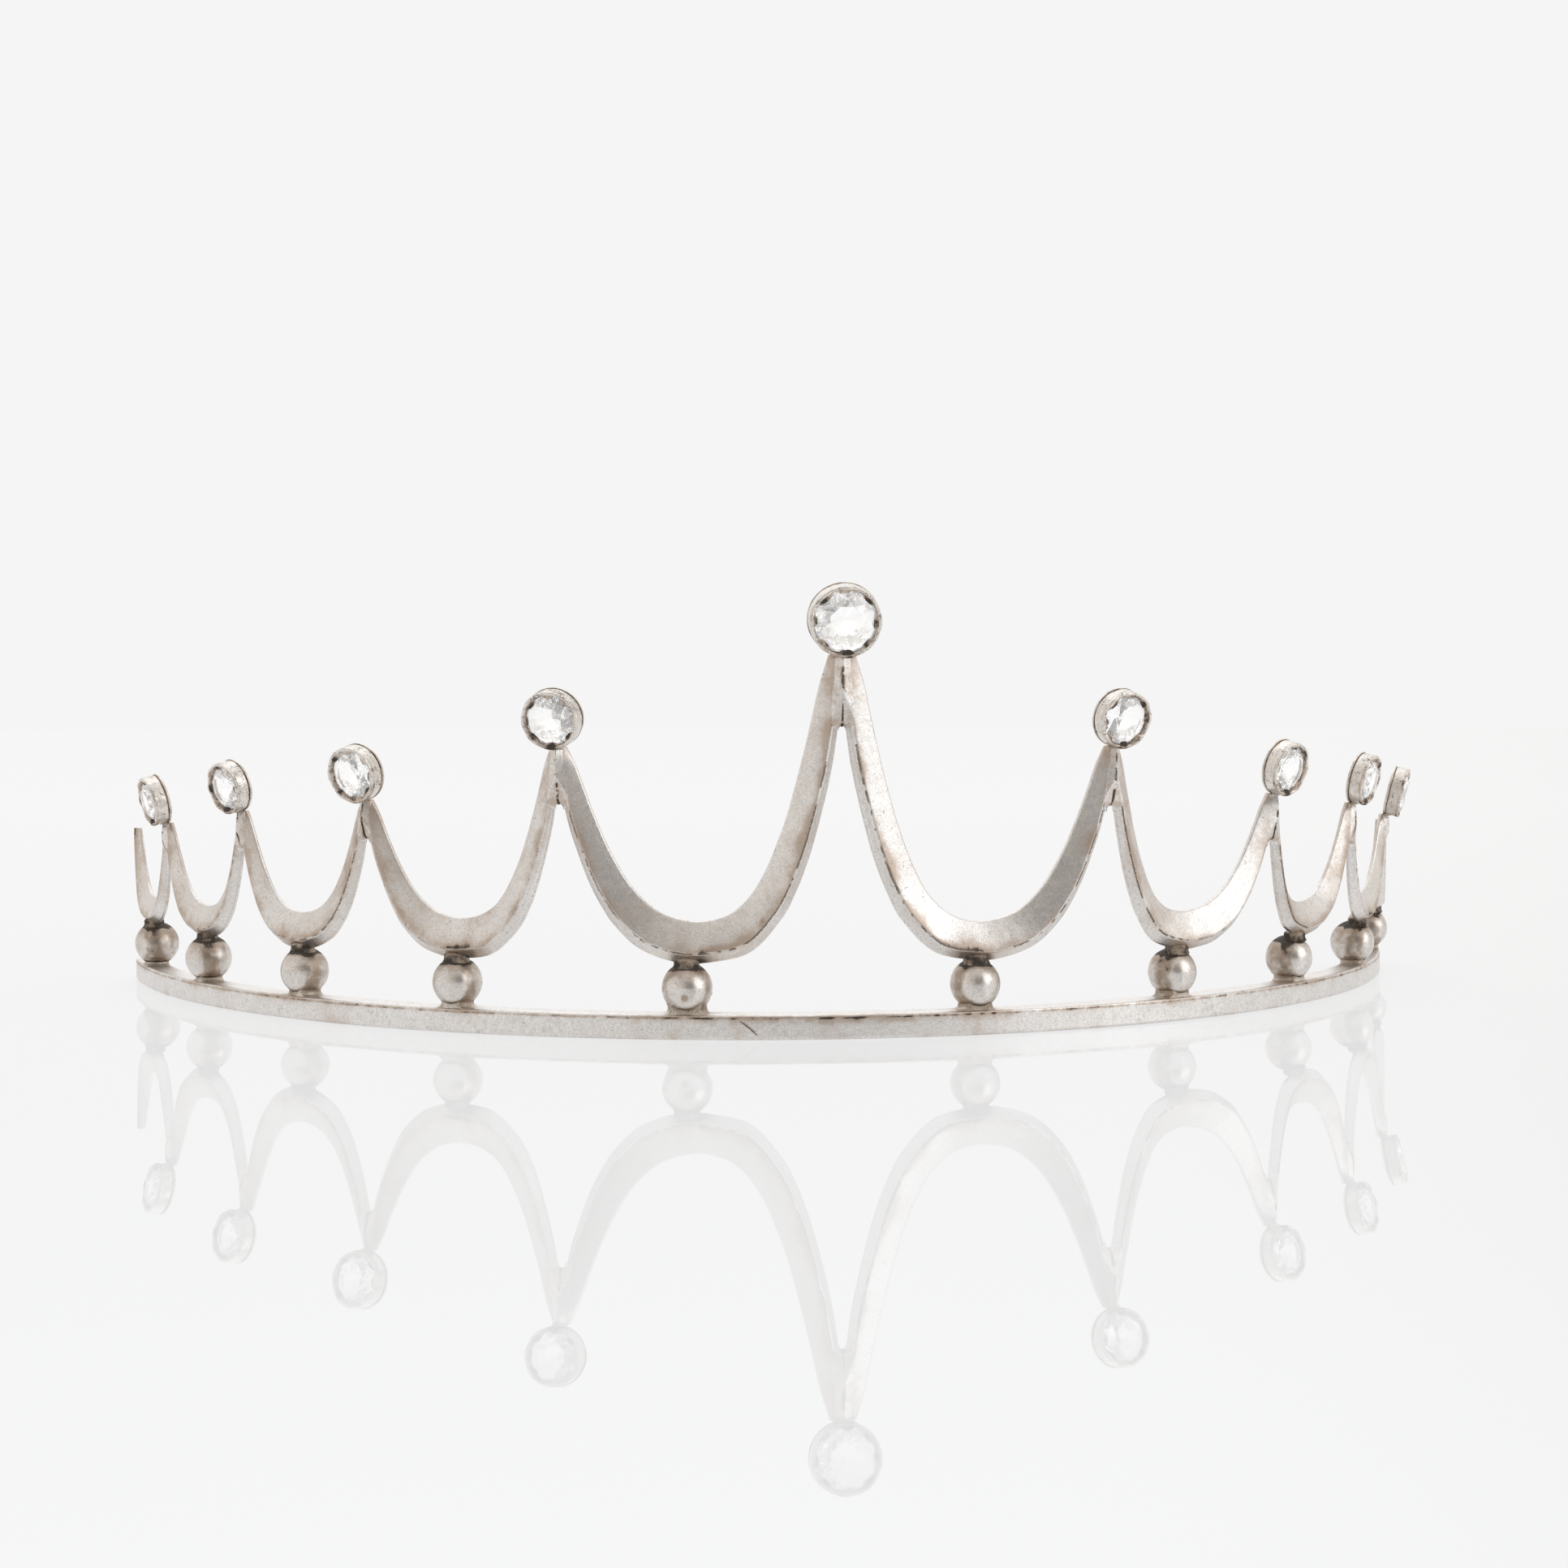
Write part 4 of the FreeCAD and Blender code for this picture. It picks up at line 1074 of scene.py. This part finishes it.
def build_webs():
    V, F, T, Pt = [], [], [], []
    for i in range(9):
        h, z0 = APEX_H[i], WEB_BOTTOM[i]
        nr, ns = 110, 45
        rows, flat_w = [], []
        for k in range(nr + 1):
            t = (k / nr) ** 1.5
            zc = z0 + (h - .05 - z0) * t
            u = (zc - SWAG_UNDER) / (h - SWAG_UNDER)
            deep = SWAG_DEEP + (TIP_DEEP - SWAG_DEEP) * u
            back = -deep / 2 + cant(deep) + .03
            hw = .40 - .05 * u
            aL = outer_edge_at(i, +1, zc) - deg(.14)
            aR = outer_edge_at(i + 1, -1, zc) + deg(.14)
            gap = (aR - aL) * math.pi / 180 * ARC_R
            ring = []
            PL, PR = ridge_at(i, 1, zc), ridge_at(i + 1, -1, zc)
            fu = min(max((zc - z0) / .70, 0), 1)
            fill = math.sqrt(1 - (1 - fu) ** 2)
            rd = radial((aL + aR) / 2)
            C0, tg = (PL + PR) / 2, (PR - PL)
            g = np.linalg.norm(tg) / 2
            tg = tg / (2 * g)
            xL, hL, mL = face_cut(i, 1, zc, C0, tg, rd)
            xR, hR, mR = face_cut(i + 1, -1, zc, C0, tg, rd)
            mL, mR = min(max(mL, .1), .8), -min(max(-mR, .1), .8)
            # near the fork a flat between the ridges; higher up the two broad faces run on to the seam
            roof = min(hL - mL * xL, hR - mR * xR)
            level = (hL + hR) / 2 + .02
            level = level + (roof + .12 - level) * float(ease((t - .06) / .62))
            X = (gap / 2 + .02) * (1 - fill) + (max(-xL, xR) + .24) * fill
            for q in range(ns):
                s = q / (ns - 1) * 2 - 1
                a = (aL + aR) / 2 + (aR - aL) / 2 * s
                # the lower edge is a round arch between the two arms
                sv = min(abs(s) * gap / max(gap - .24, .1), 1.0)
                z = zc - (1 - t) ** 5 * (gap - .24) * .62 * (1 - math.sqrt(max(0, 1 - sv * sv)))
                front = back + .37 + .16 * s * s - .02
                x = s * X
                hs = np.array([hL + mL * (x - xL), hR + mR * (x - xR), level])
                hh = -.03 * math.log(float(np.exp(-hs / .03).sum()))
                past = max(xL - x, x - xR)
                hh += .010 - .034 * float(ease((past + .04) / .24))
                flush = C0 + tg * x + rd * hh
                flush[2] = z
                ring.append(on_wall(a, z, front) * (1 - fill) + flush * fill)
            for q in range(ns - 1, -1, -1):
                s = q / (ns - 1) * 2 - 1
                a = (aL + aR) / 2 + (aR - aL) / 2 * s
                sv = min(abs(s) * gap / max(gap - .24, .1), 1.0)
                z = zc - (1 - t) ** 5 * (gap - .24) * .62 * (1 - math.sqrt(max(0, 1 - sv * sv)))
                ring.append(on_wall(a, z, back + .10 * (1 - s * s)))
            level = max(roof - level, 0)
            flat_w.append((g, level, (mL - mR) / 2))
            rows.append(ring)
        v, f, rc = tube(np.array(rows), cap=False)
        for q in range(ns - 1):
            f.append((q, q + 1, 2 * ns - 2 - q, 2 * ns - 1 - q))
            o = nr * 2 * ns
            f.append((o + q + 1, o + q, o + 2 * ns - 1 - q, o + 2 * ns - 2 - q))
        n = normals_of(v, f)
        v = v + n * (0.030 * vnoise(v, 0.28, 3, 2) + 0.010 * vnoise(v, 1.3, 5, 2))[:, None]
        col = rc[:, 1]
        is_front = col < ns
        s = np.where(is_front, col / (ns - 1) * 2 - 1, 0)
        m = vnoise(v, 1.5, 81 + i, 3)
        m2 = vnoise(v * np.array([1, 1, .8]), 2.3, 82 + i, 3)
        zt = (v[:, 2] - z0) / (h - z0)
        R0 = np.asarray(rows)
        width = np.linalg.norm(R0[:, ns - 1] - R0[:, 0], axis=1)[rc[:, 0]]
        wander = .07 * vnoise(v * np.array([0, 0, 1.0]), .9, 7 + i, 2)
        up_f = (v[:, 2] - z0) / (h - z0)
        G = np.array(flat_w)[rc[:, 0]]
        x = s * width / 2
        flat = G[:, 1] / G[:, 2]          # half-width of the flat by the seam
        in_flat = ease((flat + .05 - np.abs(x)) / .10) * is_front * ease(up_f / .05)
        # a thin line along the border of the flat, made lighter below (the - .08 * lip term): a painted highlight
        lip = np.exp(-((np.abs(x) - flat) / .07) ** 2) * is_front * ease(up_f / .08)
        blot = ease((m2 + .42 - .55 * up_f + .15 * m) / .16)
        hole = np.exp(-((x - wander) / (.115 + .08 * m)) ** 2) * blot * is_front
        fork = np.exp(-(up_f / .05) ** 2) * is_front
        worn = vnoise(v, .9, 120 + i, 2)
        v = v - n * (.10 * hole)[:, None] + n * (.016 * m)[:, None]
        off = sum(len(q) for q in V)
        V.append(v)
        F += [tuple(q + off for q in ff) for ff in f]
        T.append(.16 + .14 * m + .30 * ease((np.abs(x) - flat) / .12) * (.5 + .8 * m2) * is_front * (1 - .6 * up_f) + .24 * in_flat * (1 + .8 * m2) + .12 * worn + .9 * hole + .40 * fork - .08 * lip)
        Pt.append(np.clip(.12 + hole, 0, 1))
    T, Pt = np.concatenate(T), np.concatenate(Pt)
    return piece("solder_seams", np.concatenate(V), F, SWAG_MAT, ["apex_webs"], attrs={"tarn": np.clip(T, 0, 1.2), "pit": Pt})


def build_stems():
    """the little block of solder under each setting, run out round its foot"""
    V, F, T = [], [], []
    for i in range(9):
        a, h = APEX_ANG[i], APEX_H[i]
        base, x, up, n, ro, ln = cup_matrix(i)
        hw = APEX_HALF[i] * .84
        rd = radial(a)
        tg = np.array([math.cos(math.radians(a)), math.sin(math.radians(a)), 0.0])
        # from the top of the arms to the underside of the collet
        b0 = on_wall(a, h - .28, 0.0)
        b1 = base - up * (ro - .12) + n * (ln * .42)
        rows = []
        for k in range(19):
            t = k / 18
            c = b0 * (1 - t) + b1 * t
            wx = (hw + .06) * (1 - .14 * math.sin(math.pi * t)) + .30 * ease((t - .55) / .45)
            wy = (.50 + .12 * t) * (1 - .05 * math.sin(math.pi * t)) + .18 * ease((t - .6) / .4)
            ring = []
            for q in range(56):
                p = 2 * math.pi * q / 56
                cx, sy = math.cos(p), math.sin(p)
                cx = math.copysign(abs(cx) ** .72, cx)
                sy = math.copysign(abs(sy) ** .72, sy)
                pt = c + tg * wx * cx + rd * wy * sy
                # follow the round of the collet at the top
                pt = pt + up * (ease((t - .4) / .6) * (ro - math.sqrt(max(ro * ro - (wx * cx) ** 2, 0))) * 1.0)
                ring.append(pt)
            rows.append(ring)
        v, f, rc = tube(np.array(rows), round_cap=.02)
        nn = normals_of(v, f)
        m = vnoise(v, 1.6, 91 + i, 3)
        v = v + nn * (.05 * m)[:, None]
        off = sum(len(q) for q in V)
        V.append(v)
        F += [tuple(q + off for q in ff) for ff in f]
        T.append(.34 + .42 * m + .35 * np.exp(-((v[:, 2] - h) / .22) ** 2))
    T = np.concatenate(T)
    return piece("solder_blocks", np.concatenate(V), F, JOIN_MAT, ["setting_stems"], attrs={"tarn": np.clip(T, 0, 1.2), "pit": .5 * np.clip(T, 0, 1)})


# ------------------------------------------------------------------ build the visible pieces
build_band()
for j in range(10):
    build_swag(j)
    build_ball(j)
build_low_solder()
build_up_solder()
for i in range(9):
    build_cup(i)
    build_ring(i)
    build_stone(i)
build_webs()
build_stems()
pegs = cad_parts["ball_pegs"]
pegs.data.materials.clear()
pegs.data.materials.append(SOLDER_MAT)


# ------------------------------------------------------------------ floor, backdrop and light
def simple(name):
    m = bpy.data.materials.new(name)
    m.use_nodes = True
    m.node_tree.nodes.clear()
    return m, m.node_tree


def emission_mat(name, col, strength):
    m, t = simple(name)
    o = t.nodes.new("ShaderNodeOutputMaterial")
    e = t.nodes.new("ShaderNodeEmission")
    e.inputs[0].default_value = rgb(*col)
    e.inputs[1].default_value = strength
    t.links.new(e.outputs[0], o.inputs[0])
    return m


def floor_level(t, x, y):
    """the floor's own glow, evened out over the part in view"""
    out = None
    for sock, pts in ((y, FLOOR_Y), (x, FLOOR_X)):
        c = t.nodes.new("ShaderNodeFloatCurve")
        mp = t.nodes.new("ShaderNodeMapRange")
        mp.inputs["From Min"].default_value, mp.inputs["From Max"].default_value = -.3, .7
        if sock is x:
            mp.inputs["From Min"].default_value, mp.inputs["From Max"].default_value = -.3, .3
        t.links.new(sock, mp.inputs["Value"])
        cv = c.mapping.curves[0]
        while len(cv.points) > 2:
            cv.points.remove(cv.points[0])
        cv.points[0].location = pts[0]
        cv.points[1].location = pts[-1]
        for q in pts[1:-1]:
            cv.points.new(*q)
        c.mapping.update()
        t.links.new(mp.outputs[0], c.inputs["Value"])
        if out is None:
            out = c.outputs[0]
        else:
            n = t.nodes.new("ShaderNodeMath")
            n.operation = "MULTIPLY"
            t.links.new(out, n.inputs[0])
            t.links.new(c.outputs[0], n.inputs[1])
            n2 = t.nodes.new("ShaderNodeMath")
            n2.operation = "MULTIPLY"
            t.links.new(n.outputs[0], n2.inputs[0])
            n2.inputs[1].default_value = FLOOR_GLOW * 4
            out = n2.outputs[0]
    return out


# (place, half of the glow wanted there); places run from the front of the floor to the back, and from left to right
FLOOR_Y = [(0.0, .5), (.133, .5), (.196, .503), (.333, .517), (.78, .533), (1.0, .533)]
FLOOR_X = [(0.0, .5), (.25, .5), (.5, .5), (.75, .5), (1.0, .5)]


def floor_mat():
    m, t = simple("glossy_white_floor")
    o = t.nodes.new("ShaderNodeOutputMaterial")
    d = t.nodes.new("ShaderNodeBsdfDiffuse")
    d.inputs[0].default_value = rgb(.14, .14, .14)
    e = t.nodes.new("ShaderNodeEmission")
    e.inputs[0].default_value = rgb(.985, .992, 1)
    tc = t.nodes.new("ShaderNodeTexCoord")
    sp = t.nodes.new("ShaderNodeSeparateXYZ")
    t.links.new(tc.outputs["Object"], sp.inputs[0])
    lev = floor_level(t, sp.outputs[0], sp.outputs[1])
    t.links.new(lev, e.inputs[1])
    g = t.nodes.new("ShaderNodeBsdfGlossy")
    g.inputs["Color"].default_value = rgb(.97, .97, .97)
    g.inputs["Roughness"].default_value = .006
    a = t.nodes.new("ShaderNodeAddShader")
    mx = t.nodes.new("ShaderNodeMixShader")
    mx.inputs[0].default_value = .17
    t.links.new(d.outputs[0], a.inputs[0])
    t.links.new(e.outputs[0], a.inputs[1])
    t.links.new(a.outputs[0], mx.inputs[1])
    t.links.new(g.outputs[0], mx.inputs[2])
    t.links.new(mx.outputs[0], o.inputs[0])
    return m


WHITE = .913
FLOOR_GLOW = .74


def disc(name, radius, z, mat, n=96):
    th = np.linspace(0, 2 * np.pi, n, endpoint=False)
    v = [(radius * math.cos(q), radius * math.sin(q), z) for q in th]
    me = bpy.data.meshes.new(name)
    me.from_pydata(v, [], [tuple(range(n))])
    me.materials.append(mat)
    ob = bpy.data.objects.new(name, me)
    scene.collection.objects.link(ob)
    return ob


floor = disc("floor", 4.0, 0.0, floor_mat())

# a plain white backdrop all round, seen only by the camera
th = np.linspace(0, 2 * np.pi, 48, endpoint=False)
dv, df = [], []
lats = np.linspace(-30, 90, 13)
for la in lats[:-1]:
    for q in th:
        dv.append((3.9 * math.cos(math.radians(la)) * math.cos(q), 3.9 * math.cos(math.radians(la)) * math.sin(q), 3.9 * math.sin(math.radians(la))))
dv.append((0, 0, 3.9))
df = [tuple(f) for f in grid_quads(len(lats) - 1, 48)] + [((len(lats) - 2) * 48 + k, (len(lats) - 2) * 48 + (k + 1) % 48, len(dv) - 1) for k in range(48)]
dm = bpy.data.meshes.new("backdrop")
dm.from_pydata(dv, [], df)
dm.materials.append(emission_mat("backdrop_white", (1, 1, 1), WHITE))
dome = bpy.data.objects.new("backdrop", dm)
scene.collection.objects.link(dome)
dome.visible_diffuse = dome.visible_glossy = dome.visible_shadow = False
dome.visible_transmission = False

world = bpy.data.worlds.new("studio")
scene.world = world
world.use_nodes = True
wt = world.node_tree
wt.nodes.clear()
wo = wt.nodes.new("ShaderNodeOutputWorld")
wb = wt.nodes.new("ShaderNodeBackground")
wt.links.new(wb.outputs[0], wo.inputs[0])
wc = wt.nodes.new("ShaderNodeTexCoord")
ws = wt.nodes.new("ShaderNodeSeparateXYZ")
wt.links.new(wc.outputs["Generated"], ws.inputs[0])


def wmath(op, a, b=0.0):
    n = wt.nodes.new("ShaderNodeMath")
    n.operation = op
    for k, v in enumerate((a, b)):
        if isinstance(v, bpy.types.NodeSocket):
            wt.links.new(v, n.inputs[k])
        else:
            n.inputs[k].default_value = v
    return n.outputs[0]


def wstep(v, lo, hi, a=0.0, b=1.0):
    n = wt.nodes.new("ShaderNodeMapRange")
    n.interpolation_type = "SMOOTHSTEP"
    wt.links.new(v, n.inputs["Value"])
    n.inputs["From Min"].default_value = lo
    n.inputs["From Max"].default_value = hi
    n.inputs["To Min"].default_value = a
    n.inputs["To Max"].default_value = b
    return n.outputs[0]


X, Y, Z = ws.outputs
back = wstep(Y, -.25, .45, 0.0, .35)                   # the bright sweep behind
topl = wstep(Z, .45, .92, 0.0, .26)                    # overhead scrim
dark = wmath("MULTIPLY", wstep(wmath("ABSOLUTE", wmath("SUBTRACT", X, .16)), .20, .46, 1.0, 0.0), wstep(Y, -.15, -.55))
dark = wmath("MULTIPLY", dark, wstep(Z, .35, .75, 1.0, 0.0))
sides = wmath("MULTIPLY", wstep(wmath("ABSOLUTE", X), .22, .75, 0.0, .30), wstep(Y, 0.0, .35))
upper = wmath("MULTIPLY", wstep(Z, .02, .40, 0.0, .24), wstep(Y, 0.0, .35))
back = wmath("SUBTRACT", back, wmath("SUBTRACT", sides, upper))
lvl = wmath("ADD", .60, wmath("ADD", back, topl))
lvl = wmath("SUBTRACT", lvl, wmath("MULTIPLY", dark, .36))
left = wmath("MULTIPLY", wstep(X, -.30, -.75, 0.0, .05), wstep(Y, .25, -.05))
lvl = wmath("ADD", lvl, left)
low = wmath("MULTIPLY", wstep(wmath("ABSOLUTE", Z), .40, .10, 0.0, .20), wstep(wmath("ABSOLUTE", wmath("SUBTRACT", X, .05)), .40, .62))
lvl = wmath("ADD", lvl, low)


def lobe(d, lo, hi, level):
    """a soft-edged lamp far off, in direction d"""
    d = np.array(d) / np.linalg.norm(d)
    dot = wmath("ADD", wmath("ADD", wmath("MULTIPLY", X, float(d[0])), wmath("MULTIPLY", Y, float(d[1]))), wmath("MULTIPLY", Z, float(d[2])))
    return wstep(dot, lo, hi, 0.0, level)


lvl = wmath("ADD", lvl, lobe((.85, -.55, .45), .865, .985, 1.25))      # the main soft lamp, right of the camera
lvl = wmath("ADD", lvl, lobe((-.90, -.35, .50), .885, .985, .22))
lvl = wmath("ADD", lvl, lobe((0, -.05, 1.15), .86, .98, .20))
wt.links.new(lvl, wb.inputs[1])
# the dim parts of the room are a little warmer than the white scrims
tone = wt.nodes.new("ShaderNodeCombineXYZ")
tone.inputs[0].default_value = 1.0
wt.links.new(wstep(lvl, .65, 1.15, .940, .998), tone.inputs[1])
wt.links.new(wstep(lvl, .65, 1.15, .872, .996), tone.inputs[2])
wt.links.new(tone.outputs[0], wb.inputs[0])


def area(name, loc, target, sx, sy, power, col=(1, 1, 1)):
    L = bpy.data.lights.new(name, "AREA")
    L.shape, L.size, L.size_y, L.energy, L.color = "RECTANGLE", sx, sy, power, col
    ob = bpy.data.objects.new(name, L)
    scene.collection.objects.link(ob)
    ob.location = loc
    d = Vector(target) - Vector(loc)
    ob.rotation_mode = "QUATERNION"
    ob.rotation_quaternion = d.to_track_quat("-Z", "Y")
    return ob


top_lamp = area("softbox_top", (0.0, -.05, 1.15), (0, 0, .02), 1.0, .8, .6)
top_lamp.visible_glossy = False

# ------------------------------------------------------------------ camera
cam_d = bpy.data.cameras.new("camera")
cam = bpy.data.objects.new("camera", cam_d)
scene.collection.objects.link(cam)
scene.camera = cam
cam_d.sensor_width = 36.0
cam_d.lens = 53.035
cam_d.clip_start, cam_d.clip_end = .01, 20
pos = (np.array([-29.398, -301.634, 32.248]) + SH) / 1000.0
fwd = Vector((0.107823, 0.993642, -0.032404)).normalized()
right = fwd.cross(Vector((0, 0, 1))).normalized()
upv = right.cross(fwd)
cr, sr = math.cos(.00197), math.sin(.00197)
r2, u2 = right * cr - upv * sr, right * sr + upv * cr
M = Matrix((r2, u2, -fwd)).transposed().to_4x4()
M.translation = Vector(pos)
cam.matrix_world = M

scene.view_settings.view_transform = "Standard"
scene.view_settings.look = "None"
scene.view_settings.exposure = 0.0
